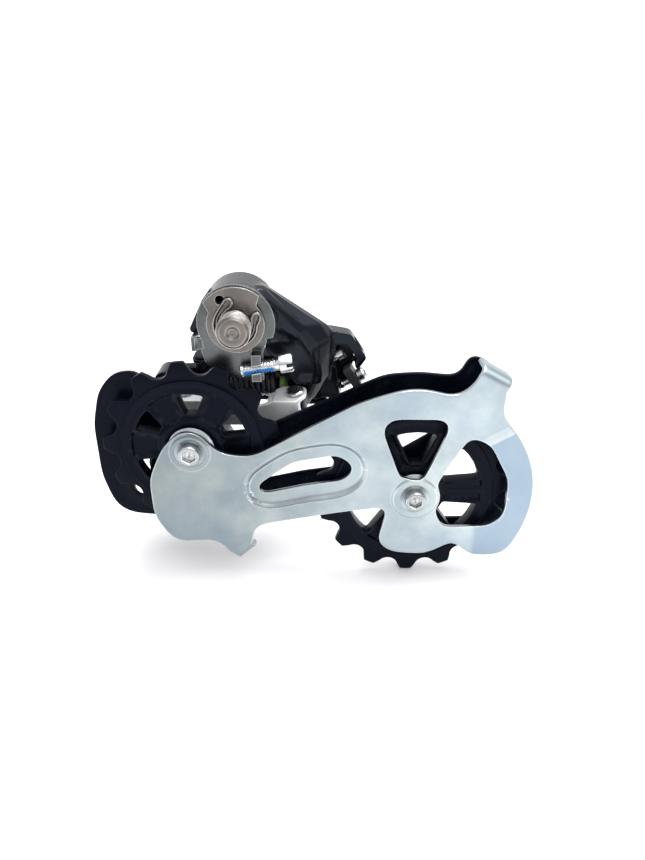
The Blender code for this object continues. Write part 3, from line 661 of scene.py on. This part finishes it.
def relief(outer, holes, front, back, rim=0.25, spacing=1.0, extra=()):
    """A closed plate with rounded edges. front and back give y for arrays of (x, z)."""
    loops = [outer if area(outer) > 0 else outer[::-1]]
    loops += [h if area(h) < 0 else h[::-1] for h in holes]
    inner = [inset(loop, rim) for loop in loops]
    low, high = loops[0].min(axis=0), loops[0].max(axis=0)
    xs = np.arange(low[0], high[0], spacing)
    zs = np.arange(low[1], high[1], spacing * 0.866)
    grid = np.array([(x + (k % 2) * spacing / 2, z) for k, z in enumerate(zs) for x in xs])
    if len(extra):
        near = np.array([np.min(np.linalg.norm(np.array(extra) - p, axis=1)) for p in grid])
        grid = np.vstack([grid[near > spacing * 0.5], np.array(extra)])
    keep = inside(grid, inner[0])
    for loop in inner[1:]:
        keep &= ~inside(grid, loop)
    for loop in inner:
        keep &= distance_to(grid, loop) > 0.3
    grid = grid[keep]
    points, edges, index = [], [], []
    for loop in inner:
        start = len(points)
        points.extend(loop)
        edges.extend((start + i, start + (i + 1) % len(loop)) for i in range(len(loop)))
        index.append(range(start, start + len(loop)))
    points.extend(grid)
    found = delaunay_2d_cdt([Vector(p) for p in points], edges, [], 0, 1e-5)
    flat = np.array([tuple(v) for v in found[0]])
    place = {}
    for new, olds in enumerate(found[3]):
        for old in olds:
            place[old] = new
    tris = np.array([tuple(f) for f in found[2]])
    middle = flat[tris].mean(axis=1)
    keep = inside(middle, inner[0])
    for loop in inner[1:]:
        keep &= ~inside(middle, loop)
    tris = tris[keep]
    count = len(flat)
    y_front, y_back = front(flat), back(flat)
    verts = [(x, y, z) for (x, z), y in zip(flat, y_front)] + [(x, y, z) for (x, z), y in zip(flat, y_back)]
    faces = [tuple(t) for t in tris] + [tuple(int(i) + count for i in t[::-1]) for t in tris]
    for loop, narrow, ids in zip(loops, inner, index):
        yf, yb = front(narrow), back(narrow)
        rows = [[place[i] for i in ids]]
        for turn, levels, way in EDGE_STEPS:
            share, depth = 1 - math.sin(math.radians(turn)), rim * (1 - math.cos(math.radians(turn)))
            ring = loop + (narrow - loop) * share
            rows.append(list(range(len(verts), len(verts) + len(ring))))
            verts.extend((x, y + way * depth, z) for (x, z), y in zip(ring, (yf, yb)[levels]))
        rows.append([place[i] + count for i in ids])
        size = len(loop)
        for a, b in zip(rows, rows[1:]):
            for i in range(size):
                j = (i + 1) % size
                faces.append((a[i], a[j], b[j], b[i]))
    used = sorted({i for f in faces for i in f})
    renumber = {old: new for new, old in enumerate(used)}
    return [verts[i] for i in used], [tuple(renumber[i] for i in f) for f in faces]


def step(value, a, b):
    """Smooth rise from 0 at a to 1 at b."""
    t = np.clip((value - a) / (b - a), 0, 1)
    return t * t * (3 - 2 * t)


def circle(centre, r, count=48, phase=0.0):
    angles = [2 * math.pi * (k + phase) / count for k in range(count)]
    return np.array([(centre[0] + r * math.cos(a), centre[1] + r * math.sin(a)) for a in angles])


def flat_of(point):
    return np.array((point[0], point[2]))


# ---------------------------------------------------------------- inner cage plate
PLATE_FRONT = node_box("inner_cage_plate")[0][1]
PLATE_BACK = 1.5
RECESS = 1.25
BOSS_HEIGHT = 0.5
BAND_RISE = 0.5
TAB_BEND = 3.0
TAB_LENGTH = 9.8
FOOT_BEND = 2.2
FOOT_LENGTH = 4.6
G2, T2 = flat_of(GUIDE), flat_of(TENSION)


def stretch_edge(loop, first, last, length):
    """Replace the short stretch of a loop between two points by a tab that reaches further out."""
    if area(loop) < 0:
        loop = loop[::-1]
    i = int(np.argmin(np.linalg.norm(loop - first, axis=1)))
    j = int(np.argmin(np.linalg.norm(loop - last, axis=1)))
    gap = (j - i) % len(loop)
    if gap > len(loop) // 2:
        first, last, i = last, first, j
        gap = len(loop) - gap
    rolled = np.roll(loop, -i, axis=0)
    side = unit(last - first)
    out = np.array((side[1], -side[0]))
    steps = 12
    up = [first + out * length * k / steps for k in range(steps)]
    across = [first + (last - first) * k / 8 + out * length for k in range(9)]
    down = [last + out * length * (steps - k) / steps for k in range(1, steps)]
    return np.vstack([np.array(up + across + down), rolled[gap:]]), out


def bend(verts, first, last, out, radius, y_front):
    """Roll a tab back beyond the line from first to last, over a bend of the given outer radius."""
    along = unit(last - first)
    width = np.linalg.norm(last - first)
    bent = []
    for x, y, z in verts:
        offset = np.array((x, z)) - first
        s, t = offset @ out, offset @ along
        if s <= 0 or not -0.6 < t < width + 0.6:
            bent.append((x, y, z))
            continue
        rho = radius - (y - y_front)
        angle = min(s / radius, math.pi / 2)
        rest = max(0.0, s - radius * math.pi / 2)
        n = rho * math.sin(angle)
        level = y_front + radius - rho * math.cos(angle) + rest
        bent.append((x + (n - s) * out[0], level, z + (n - s) * out[1]))
    return bent


plate_loops = face_loops("inner_cage_plate", PLATE_FRONT)
plate_outer = eased(smooth_loop(plate_loops[0], 0.4), 0.6, 2.1)
WINDOW_AREA = 60
plate_holes = [eased(smooth_loop(loop, 0.4), 0.5, 1.5 if abs(area(loop)) > WINDOW_AREA else 0.4)
               for loop in plate_loops[1:]]
slot_hole = min(plate_holes, key=lambda h: np.linalg.norm(h.mean(axis=0) - (G2 + T2) / 2))
slot_ridge = eased(slot_hole, 0.6, 2.2)
TAB_A, TAB_B = np.array((71.8, -12.2)), np.array((80.6, -17.0))
FOOT_A, FOOT_B = np.array((2.5, -70.6)), np.array((-3.0, -75.3))
plate_outer, tab_out = stretch_edge(plate_outer, TAB_A, TAB_B, TAB_LENGTH)
plate_outer, foot_out = stretch_edge(plate_outer, FOOT_A, FOOT_B, FOOT_LENGTH)
BAND_FOOT = (np.array((80.2, -64.5)), np.array((75.4, -74.7)))


def beyond(points, a, b):
    """Signed distance to the right of the line from a to b."""
    side = unit(np.array(b) - np.array(a))
    return (points - np.array(a)) @ np.array((side[1], -side[0]))


def band(points):
    """1 on the stepped rim of the plate behind the tension pulley."""
    top = np.clip(beyond(points, *BAND_TOP) / 3.2, 0, 1)
    foot = np.clip((1.0 - beyond(points, *BAND_FOOT)) / 4.0, 0, 1)
    low = points[:, 1] < BAND_FOOT[0][1] + 10.0
    right = np.where(low, foot, (points[:, 0] > BAND_TOP[0][0] - 1.0).astype(float))
    return top * right


def boss(points, centre, inner, outer):
    r = np.linalg.norm(points - centre, axis=1)
    return step(r, outer, outer - 0.7) * (0.3 + 0.7 * step(r, inner, inner + 0.6))


def plate_front(points):
    d = distance_to(points, slot_ridge)
    y = PLATE_FRONT + RECESS * step(d, 5.6, 3.7)
    past = np.clip(beyond(points, *BAND_TOP), 0, 30)
    y = y - (BAND_RISE - 0.04 * past) * band(points)
    y = y - BOSS_HEIGHT * boss(points, T2, 4.3, 7.5) - BOSS_HEIGHT * 0.8 * boss(points, G2, 4.0, 6.2)
    return y


def plate_back(points):
    return plate_front(points) + PLATE_BACK


rings = [circle(T2, r, 56) for r in (3.4, 4.2, 4.7, 5.2, 6.5, 6.9, 7.2, 7.6)]
rings += [circle(G2, r, 48) for r in (3.4, 4.0, 4.5, 5.0, 5.4, 5.8, 6.3)]
ridge_loop = slot_ridge if area(slot_ridge) < 0 else slot_ridge[::-1]
ridge = [inset(ridge_loop, d) for d in (3.4, 3.9, 4.5, 5.1, 5.6)]
strip = [np.array(a) + (np.array(b) - a) * t + np.array((0.6, -0.8)) * k for a, b in (BAND_TOP,)
         for t in np.linspace(-0.1, 1.1, 12) for k in (0.0, 0.8, 1.6, 2.4, 3.2)]
verts, faces = relief(plate_outer, plate_holes, plate_front, plate_back, 0.28, 1.1,
                      np.vstack(rings + ridge + [np.array(strip)]))
verts = bend(verts, TAB_A, TAB_B, tab_out, TAB_BEND, PLATE_FRONT)
verts = bend(verts, FOOT_A, FOOT_B, foot_out, FOOT_BEND, PLATE_FRONT)
add_piece("inner_plate_pressing", verts, faces, "cage", "zinc", ("inner_cage_plate",), CAGE_ZINC_WITH_PAINTED_LIGHT, 50)

# ---------------------------------------------------------------- outer cage plate
OUT_LOW, OUT_HIGH = node_box("outer_cage_plate")
outer_loops = face_loops("outer_cage_plate", OUT_LOW[1])
outer_outline = eased(smooth_loop(outer_loops[0], 0.4), 0.7, 2.0)
outer_holes = [eased(smooth_loop(loop, 0.4), 0.6, 0.8) for loop in outer_loops[1:]]


WINDOW_SHIFT = np.array((-2.0, -2.5))
SILL = ((51.3, -41.8), (58.0, -37.5))
outer_holes[0] = outer_holes[0] + WINDOW_SHIFT
outer_holes[1] = eased(above(outer_holes[1], *SILL), 0.6, 0.7)


def outer_front(points):
    d = distance_to(points, outer_outline)
    return OUT_LOW[1] + 0.35 * step(d, 1.6, 2.4)


def outer_back(points):
    return np.full(len(points), OUT_HIGH[1])


verts, faces = relief(outer_outline, outer_holes, outer_front, outer_back, 0.22, 1.4,
                      inset(outer_outline if area(outer_outline) > 0 else outer_outline[::-1], 1.6)[::2])
add_piece("outer_plate_pressing", verts, faces, "cage", "black_steel", ("outer_cage_plate",), sharp=50)

# ---------------------------------------------------------------- pulleys
PITCH = 12.7
ROOT_R = 3.5
ROOT_LIFT = 0.4
TOOTH_LAND = 4.0
TIP_OVER_PITCH = 1.05
TOOTH_HALF = 1.2
GROOVE_HALF = 1.35
LIP = 0.28
CAP_SEAT = 0.5


def pitch_radius(teeth):
    return PITCH / (2 * math.sin(math.pi / teeth))


def tooth_loop(centre, teeth, phase):
    """Flat-topped teeth with round valleys; tips and flanks meet in small radii."""
    pitch_r = pitch_radius(teeth)
    tip_r = pitch_r + TIP_OVER_PITCH
    land = math.asin(TOOTH_LAND / 2 / tip_r)
    points = []
    for k in range(teeth):
        tooth = math.radians(phase) + 2 * math.pi * k / teeth
        for share in (-1.0, -0.92, -0.6, 0.0, 0.6, 0.92, 1.0):
            r = tip_r - (0.28 if abs(share) == 1.0 else 0.06 if abs(share) > 0.9 else 0.0)
            a = tooth + share * land
            points.append((centre[0] + r * math.cos(a), centre[1] + r * math.sin(a)))
        valley = tooth + math.pi / teeth
        mx = centre[0] + (pitch_r + ROOT_LIFT) * math.cos(valley)
        mz = centre[1] + (pitch_r + ROOT_LIFT) * math.sin(valley)
        for turn in np.linspace(-64, 64, 13):
            a = valley + math.pi - math.radians(turn)
            points.append((mx + ROOT_R * math.cos(a), mz + ROOT_R * math.sin(a)))
    return np.array(points)


def window_loop(centre, mid, r_in, r_out, span_in, span_out, r=1.1):
    """One window of a pulley with rounded corners."""
    def at(radius, angle):
        a = math.radians(angle)
        return np.array((centre[0] + radius * math.cos(a), centre[1] + radius * math.sin(a)))

    corners = [at(r_out, mid + span_out * t) for t in (-1, -0.5, 0, 0.5, 1)]
    corners += [at(r_in, mid + span_in * t) for t in (1, 0, -1)]
    out = []
    count = len(corners)
    for i, p in enumerate(corners):
        a, b = corners[i - 1] - p, corners[(i + 1) % count] - p
        turn = math.degrees(math.acos(float(np.clip(-unit(a) @ unit(b), -1, 1))))
        reach = min(r, 0.45 * np.linalg.norm(a), 0.45 * np.linalg.norm(b)) if turn > 30 else 0.0
        if reach == 0.0:
            out.append(p)
            continue
        start, end = p + unit(a) * reach, p + unit(b) * reach
        for t in np.linspace(0, 1, 6):
            out.append((1 - t) ** 2 * start + 2 * t * (1 - t) * p + t ** 2 * end)
    return np.array(out)


def make_pulley(node, centre, teeth, phase, rim, windows, hub_r, body, ribbed):
    low, high = node_box(node)
    middle = (low[1] + high[1]) / 2
    half = (high[1] - low[1]) / 2
    c2 = flat_of(centre)
    r_in, r_out, span_in, span_out, mid0 = windows
    holes = [window_loop(c2, mid0 + 60 * k, r_in, r_out, span_in, span_out) for k in range(6)]
    bore = circle(c2, 4.3, 48)
    pitch_r = pitch_radius(teeth)

    def thickness(points):
        offset = points - c2
        r = np.linalg.norm(offset, axis=1)
        angle = np.degrees(np.arctan2(offset[:, 1], offset[:, 0]))
        near = np.min([distance_to(points, h) for h in holes], axis=0)
        t = TOOTH_HALF - 0.35 * step(r, pitch_r - 2.0, pitch_r + 1.2)
        t = t + (half - TOOTH_HALF) * step(r, rim + 0.05, rim - 0.45)
        lip = step(r, rim - 1.5, rim - 1.0)
        t = np.where(r < rim, half - LIP * (1 - lip), t)
        across = np.abs(np.radians((angle - mid0) % 60 - 30)) * r
        web = step(r, hub_r, hub_r + 0.6) * step(r, r_out + 0.9, r_out + 0.2)
        groove = step(near, 0.9, 1.5) * web
        rib = step(across, 0.75, 0.35) * web
        t = t - groove * (half - GROOVE_HALF) + rib * groove * ribbed
        t = t + LIP * step(near, 1.0, 0.5) * (r < rim - 1.6)
        t = np.where(r < hub_r - 0.4, half, t)
        return t - CAP_SEAT * step(r, 6.4, 5.8) * (r < hub_r)

    bands = [circle(c2, r, int(r * 9), 0.5 * (i % 2)) for i, r in enumerate(
        (5.5, 6.1, 6.6, hub_r - 0.6, hub_r - 0.2, hub_r + 0.3, hub_r + 0.8, r_out + 0.3, r_out + 0.9,
         rim - 1.6, rim - 1.2, rim - 0.9, rim - 0.5, rim - 0.2, rim + 0.1, rim + 0.5))]
    spokes = []
    for k in range(6):
        a = math.radians(mid0 + 30 + 60 * k)
        along, side = np.array((math.cos(a), math.sin(a))), np.array((-math.sin(a), math.cos(a)))
        for r in np.arange(hub_r, r_out + 1, 0.8):
            spokes.extend(c2 + along * r + side * w for w in (-1.9, -1.4, -0.8, -0.35, 0.35, 0.8, 1.4, 1.9))
    verts, faces = relief(tooth_loop(c2, teeth, phase), holes + [bore],
                          lambda p: middle - thickness(p), lambda p: middle + thickness(p), 0.18, 1.2,
                          np.vstack(bands + [np.array(spokes)]))
    add_piece(node + "_moulding", verts, faces, body, "black_resin", (node,), sharp=42)


make_pulley("guide_pulley", GUIDE, 13, 39.5, 22.0, (11.0, 17.8, 8.0, 13.0, 27.0), 9.6, "guide_wheel", 0.0)
make_pulley("tension_pulley", TENSION, 15, 220.8, 25.9, (10.5, 21.5, 9.0, 17.5, 30.0), 9.4, "tension_wheel",
            0.55)

# ---------------------------------------------------------------- bolts, screws and springs
HEAD_SHARP = 38


def lathe_piece(name, profile, base, axis, body, slot, replaces, segments=64, closed=False, sharp=HEAD_SHARP):
    verts, faces = turned(profile, base, axis, segments, closed)
    return add_piece(name, verts, faces, body, slot, replaces, sharp=sharp)


bolt_low, bolt_high = node_box("mounting_bolt")
BOLT_R = 5.0
bolt_base = np.array((0.0, bolt_low[1], 0.0))
bolt_len = bolt_high[1] - bolt_low[1]
to_washer = node_box("stopper_washer")[0][1] - bolt_low[1]
head = [(0, 0.75), (1.2, 0.62), (1.75, 0.28), (2.0, 0.06), (2.15, 0.0), (3.9, 0.0), (4.05, 0.06),
        (4.72, 0.78), (4.8, 1.0)]
shank = thread_profile(BOLT_R, 1.1, to_washer - 1.6, 1.0, 0.45)
tail = [(4.3, to_washer - 1.4), (4.3, to_washer + 1.0), (BOLT_R, to_washer + 1.1), (BOLT_R, bolt_len - 4.5),
        (7.9, bolt_len - 4.5), (8.0, bolt_len - 4.2), (8.0, bolt_len - 0.8), (7.2, bolt_len), (2.9, bolt_len),
        (2.6, bolt_len - 3.6), (0, bolt_len - 3.6)]
lathe_piece("mounting_bolt_turned", head + shank + tail, bolt_base, Y, "mount", "steel", ("mounting_bolt",),
            96, sharp=22)

screw_base, screw_len, screw_r = spindle("b_tension_screw", joint_axis("b_tension_feed"))
SHANK_R = 2.0
CAP = 4.1
profile = [(0, 0), (1.2, 0), (1.45, 0.12)] + thread_profile(SHANK_R, 0.5, screw_len - CAP - 1.4, 0.85, 0.55)
profile += [(1.75, screw_len - CAP - 1.3), (1.9, screw_len - CAP - 1.0), (1.9, screw_len - CAP),
            (2.85, screw_len - CAP), (screw_r, screw_len - CAP + 0.15), (screw_r, screw_len - 0.45),
            (screw_r - 0.35, screw_len), (0, screw_len)]
b_axis = joint_axis("b_tension_feed")
screw_top = screw_base + b_axis * screw_len


def slotted(name, profile, base, axis, top, width, depth, cross, body, slot, replaces, mat=None, segments=72):
    """A turned screw with a slot or a cross cut in its head."""
    verts, faces = turned(profile, base, axis, segments)
    obj = add_piece(name, verts, faces, body, slot, replaces, mat, HEAD_SHARP)
    u, v, w = basis(axis)
    parts = []
    for along, side in ((v, u), (u, v))[:2 if cross else 1]:
        reach = 1.6 if cross else 5.0
        corners = [(-reach, -width), (reach, -width), (reach, width), (-reach, width)]
        rings = [[top + along * a + side * b + w * h for a, b in corners] for h in (-depth, 1.5)]
        parts.append(rings_mesh(rings))
    for cut_verts, cut_faces in parts:
        cutter = bpy.data.objects.new("cutter", solid_mesh("cutter", cut_verts, cut_faces))
        bpy.context.scene.collection.objects.link(cutter)
        mod = obj.modifiers.new("slot", "BOOLEAN")
        mod.operation, mod.object, mod.solver = "DIFFERENCE", cutter, "EXACT"
        graph = bpy.context.evaluated_depsgraph_get()
        cut = bpy.data.meshes.new_from_object(obj.evaluated_get(graph))
        obj.modifiers.clear()
        obj.data = cut
        bpy.data.objects.remove(cutter, do_unlink=True)
    obj.data.shade_smooth()
    obj.data.set_sharp_from_angle(angle=math.radians(HEAD_SHARP))
    return obj


blue = locked_thread("locked_thread", screw_base, b_axis, screw_base[0] + 1.2, screw_base[0] + 10.2)
slotted("b_tension_screw_thread", profile, screw_base, b_axis, screw_top, 0.55, 1.9, False,
        "b_screw", "bright_zinc", ("b_tension_screw",), blue)

for node, body, joint in (("limit_screw_high", "high_screw", "high_limit_feed"),
                          ("limit_screw_low", "low_screw", "low_limit_feed")):
    axis = joint_axis(joint)
    base, length, radius = spindle(node, axis)
    cap = 2.3
    rows = [(0, 0), (0.9, 0)] + thread_profile(1.5, 0.2, length - cap - 0.3, 0.6, 0.26)
    rows += [(1.4, length - cap - 0.2), (1.4, length - cap), (radius, length - cap + 0.05),
             (radius, length - 0.45), (radius - 0.4, length - 0.05), (0, length)]
    slotted(node + "_thread", rows, base, axis, base + axis * length, 0.34, 1.2, True,
            body, "bright_zinc", (node,))

BOLT_PROUD = 1.1
HEAD_THICK = 1.3


def hexagon(apothem):
    """Radius of a six-sided socket at an angle."""
    return lambda a: apothem / math.cos((a + math.pi / 6) % (math.pi / 3) - math.pi / 6)


for stem, centre in (("guide", GUIDE), ("tension", TENSION)):
    low, high = node_box(stem + "_bolt")
    base = np.array((centre[0], low[1] - BOLT_PROUD, centre[2]))
    length = high[1] - low[1] + BOLT_PROUD
    under_head = HEAD_THICK + BOLT_PROUD
    rows = [(0, 1.9), (0.5, 1.5), (hexagon(1.85), 1.45), (hexagon(1.9), 0.2), (hexagon(2.1), 0.0), (2.75, 0.0),
            (3.1, 0.12), (3.3, 0.42), (3.3, under_head), (2.4, under_head)]
    rows += thread_profile(2.4, 1.5, length - 0.3, 0.8, 0.2) + [(2.1, length), (0, length)]
    lathe_piece(stem + "_bolt_turned", rows, base, Y, "cage", "bright_zinc", (stem + "_bolt",), 64)
    for side in ("inner", "outer"):
        node = f"{stem}_dust_cap_{side}"
        low, high = node_box(node)
        out = 1 if side == "outer" else -1
        start = np.array((centre[0], low[1] if out > 0 else high[1], centre[2]))
        rows = [(4.3, 0.0), (7.0, 0.0), (7.2, 0.12), (7.2, 0.62), (7.05, 0.75), (6.5, 0.78), (6.3, 0.95),
                (6.1, 1.1), (4.4, 1.1), (4.3, 1.0)]
        lathe_piece(node + "_pressed", rows, start, Y * out, "cage", "zinc", (node,), 72, closed=True)


def coil_piece(node, body, axis, wire, turns, slot, close_ends=True, segments=28):
    """A round-wire spring, evenly wound or a little closer at its ends."""
    u, v, w = basis(axis)
    base, length, radius = spindle(node, axis)
    radius -= wire
    points = []
    count = int(turns * segments)
    for k in range(count + 1):
        t = k / count
        turn = t * turns
        lift = 0.5 - 0.5 * math.cos(math.pi * t) if close_ends else t
        d = wire + (length - 2 * wire) * (0.7 * t + 0.3 * lift)
        a = 2 * math.pi * turn
        points.append(base + w * d + (u * math.cos(a) + v * math.sin(a)) * radius)
    verts, faces = swept(points, wire, 10)
    add_piece(node + "_wire", verts, faces, body, slot, (node,), sharp=60)


coil_piece("return_spring", "inner_arm", ALONG, 0.72, 9.5, "spring_steel")
coil_piece("bracket_torsion_spring", "bracket", Y, 0.9, 5.0, "spring_steel", False)
coil_piece("cage_torsion_spring", "cage", Y, 0.9, 5.0, "spring_steel", False)

# ---------------------------------------------------------------- castings and pressings
softened("bracket_body", 0.30, 5)
softened("cage_knuckle", 0.35, 5)
softened("outer_link", 0.28, 3)
softened("inner_link", 0.24, 4, LINK_PLATE)
bevelled("b_tension_plate", 0.28, mat=DULL_ZINC_DARKENED_FOR_SHADE)
for node, width in (("stopper_washer", 0.16), ("limit_screw_block", 0.3),
                    ("cable_clamp_bolt", 0.3), ("cable_clamp_washer", 0.15), ("cage_axle", 0.2),
                    ("cage_stop_pin", 0.2), ("bracket_inner_pin", 0.15), ("bracket_outer_pin", 0.15),
                    ("cage_inner_pin", 0.15), ("cage_outer_pin", 0.15), ("spring_seat", 0.2),
                    ("bracket_bush", 0.1), ("guide_bush", 0.1), ("tension_bush", 0.1)):
    bevelled(node, width)

# the knuckle's inboard skirt, seen through the guide pulley
skirt_line = eased(np.array(((-31.5, -40.5), (-37.0, -37.0), (-34.5, -29.0), (-29.0, -25.5), (-24.0, -27.0),
                             (-22.5, -31.0), (-25.5, -35.5))), 0.8, 1.0)
SKIRT_FRONT, SKIRT_BACK = 3.4, 4.8
verts, faces = relief(skirt_line, [], lambda p: np.full(len(p), SKIRT_FRONT),
                      lambda p: np.full(len(p), SKIRT_BACK), 0.4, 1.5)
add_piece("knuckle_skirt", verts, faces, "knuckle", "black_paint", (), sharp=50)

# the arm's inboard face: a dished wall between the pivot barrel and the link ears
WALL = 1.2
wall_line = eased(np.array(((9.0, -0.5), (15.0, -1.5), (21.5, -6.0), (24.5, -11.0), (26.0, -18.0),
                            (25.6, -22.0), (22.0, -22.3), (17.6, -22.0), (16.2, -20.0),
                            (14.6, -17.0), (11.8, -12.8), (8.6, -10.6), (8.0, -6.0))), 0.8, 0.9)


def wall_front(points):
    deep = 0.9 * step(distance_to(points, wall_line), 0.6, 4.0)
    return 3.4 + 0.19 * np.clip(-points[:, 1] - 7.0, 0, 30) + deep


verts, faces = relief(wall_line, [], wall_front, lambda p: wall_front(p) + WALL, 0.3, 1.0)
add_piece("bracket_arm_wall", verts, faces, "bracket", "black_paint", (), sharp=50)

# retaining clip: an oval wire bent round the bolt groove, its ends turned out into eyes
CLIP_R = 6.4
CLIP_WIRE = 0.5
CLIP_WIDE = 0.75
clip_y = node_box("retaining_clip")[0][1] + CLIP_WIDE
left_eye = [(-3.6, 3.4), (-2.2, 4.7), (-1.0, 5.7), (-0.3, 7.0), (-1.1, 8.0), (-2.4, 7.9), (-3.9, 5.9),
            (-5.4, 3.6)]
bow = [(CLIP_R * math.cos(a), CLIP_R * math.sin(a)) for a in np.radians(np.arange(160, 361, 10))]
right_eye = [(7.2, 1.4), (7.6, 2.8), (6.9, 3.8), (5.7, 3.7), (4.9, 2.3), (4.9, 0.8)]
clip_line = np.array(left_eye + bow + right_eye)
lengths = np.concatenate([[0], np.cumsum(np.linalg.norm(np.diff(clip_line, axis=0), axis=1))])
at = np.arange(0, lengths[-1], 0.25)
clip_fine = np.column_stack([np.interp(at, lengths, clip_line[:, k]) for k in (0, 1)])
for _ in range(4):
    clip_fine[1:-1] = (clip_fine[:-2] + 2 * clip_fine[1:-1] + clip_fine[2:]) / 4
clip_path = [(x, clip_y, z) for x, z in clip_fine]
verts, faces = ribbon(clip_path, CLIP_WIRE, CLIP_WIDE)
add_piece("retaining_clip_wire", verts, faces, "mount", "steel", ("retaining_clip",), sharp=60)


# ---------------------------------------------------------------- floor, light and camera
FLOOR_GAP = 0.0002
FLOOR_Z = CAD_BOX[0][2] - FLOOR_GAP
floor_mesh = bpy.data.meshes.new("floor")
REACH = 6.0
corners = [(-REACH, -REACH), (REACH, -REACH), (REACH, REACH), (-REACH, REACH)]
floor_mesh.from_pydata([(x, y, FLOOR_Z) for x, y in corners], [], [(0, 1, 2, 3)])
floor_mesh.shade_smooth()
floor = bpy.data.objects.new("floor", floor_mesh)
bpy.context.scene.collection.objects.link(floor)
paper = Look("white_paper", rough=0.75, specular=0.25)
paper.colour(paper.mix(paper.noise(8, 3), (0.93, 0.93, 0.935), (0.955, 0.955, 0.96)))
floor_mesh.materials.append(paper.mat)

world = bpy.data.worlds.new("studio")
bpy.context.scene.world = world
world.use_nodes = True
tree = world.node_tree
background = tree.nodes["Background"]
coords = tree.nodes.new("ShaderNodeTexCoord")
split = tree.nodes.new("ShaderNodeSeparateXYZ")
tree.links.new(coords.outputs["Generated"], split.inputs[0])


def sky_ramp(stops):
    """Brightness against the height of the direction."""
    ramp = tree.nodes.new("ShaderNodeValToRGB")
    while len(ramp.color_ramp.elements) < len(stops):
        ramp.color_ramp.elements.new(0.5)
    for element, (place, level) in zip(ramp.color_ramp.elements, stops):
        element.position = place
        element.color = (level, level, level * 1.01, 1.0)
    tree.links.new(split.outputs["Z"], ramp.inputs["Fac"])
    return ramp.outputs["Color"]


ahead = sky_ramp(((0.0, 1.0), (0.25, 1.0), (0.6, 0.75), (1.0, 0.95)))
behind = sky_ramp(((0.0, 0.42), (0.25, 0.72), (0.6, 1.05), (1.0, 1.1)))
turn = tree.nodes.new("ShaderNodeMapRange")
turn.inputs[1].default_value = -0.35
turn.inputs[2].default_value = 0.35
tree.links.new(split.outputs["Y"], turn.inputs[0])
blend_sky = tree.nodes.new("ShaderNodeMix")
blend_sky.data_type = "RGBA"
tree.links.new(turn.outputs[0], blend_sky.inputs[0])
tree.links.new(behind, blend_sky.inputs[6])
tree.links.new(ahead, blend_sky.inputs[7])
tree.links.new(blend_sky.outputs[2], background.inputs["Color"])
background.inputs["Strength"].default_value = 1.0


def area_light(name, place, target, size, power):
    data = bpy.data.lights.new(name, "AREA")
    data.shape = "RECTANGLE"
    data.size, data.size_y = size
    data.energy = power
    light = bpy.data.objects.new(name, data)
    light.location = place
    direction = Vector(target) - Vector(place)
    light.rotation_euler = direction.to_track_quat("-Z", "Y").to_euler()
    bpy.context.scene.collection.objects.link(light)


area_light("overhead", (0.16, 0.12, 0.55), (0.02, 0.0, -0.03), (0.35, 0.25), 3.0)
SUN_STRENGTH = 1.35
SUN_WIDTH = 70
sun_data = bpy.data.lights.new("soft_sun", "SUN")
sun_data.energy = SUN_STRENGTH
sun_data.angle = math.radians(SUN_WIDTH)
sun = bpy.data.objects.new("soft_sun", sun_data)
sun.rotation_euler = (math.radians(18), math.radians(22), 0.0)
bpy.context.scene.collection.objects.link(sun)

CAMERA_PLACE = np.array((22.39, -190.02, 57.77))
CAMERA_PITCH = 26.10
CAMERA_YAW = 1.03
SENSOR_HEIGHT = 36.0
LENS = 27.54
camera_data = bpy.data.cameras.new("camera")
camera_data.sensor_fit = "VERTICAL"
camera_data.sensor_height = SENSOR_HEIGHT
camera_data.lens = LENS
camera_data.clip_start = 0.01
camera = bpy.data.objects.new("camera", camera_data)
camera.location = CAMERA_PLACE * MM
camera.rotation_euler = (math.radians(90 - CAMERA_PITCH), 0.0, math.radians(-CAMERA_YAW))
bpy.context.scene.collection.objects.link(camera)
bpy.context.scene.camera = camera
bpy.context.scene.view_settings.view_transform = "Standard"
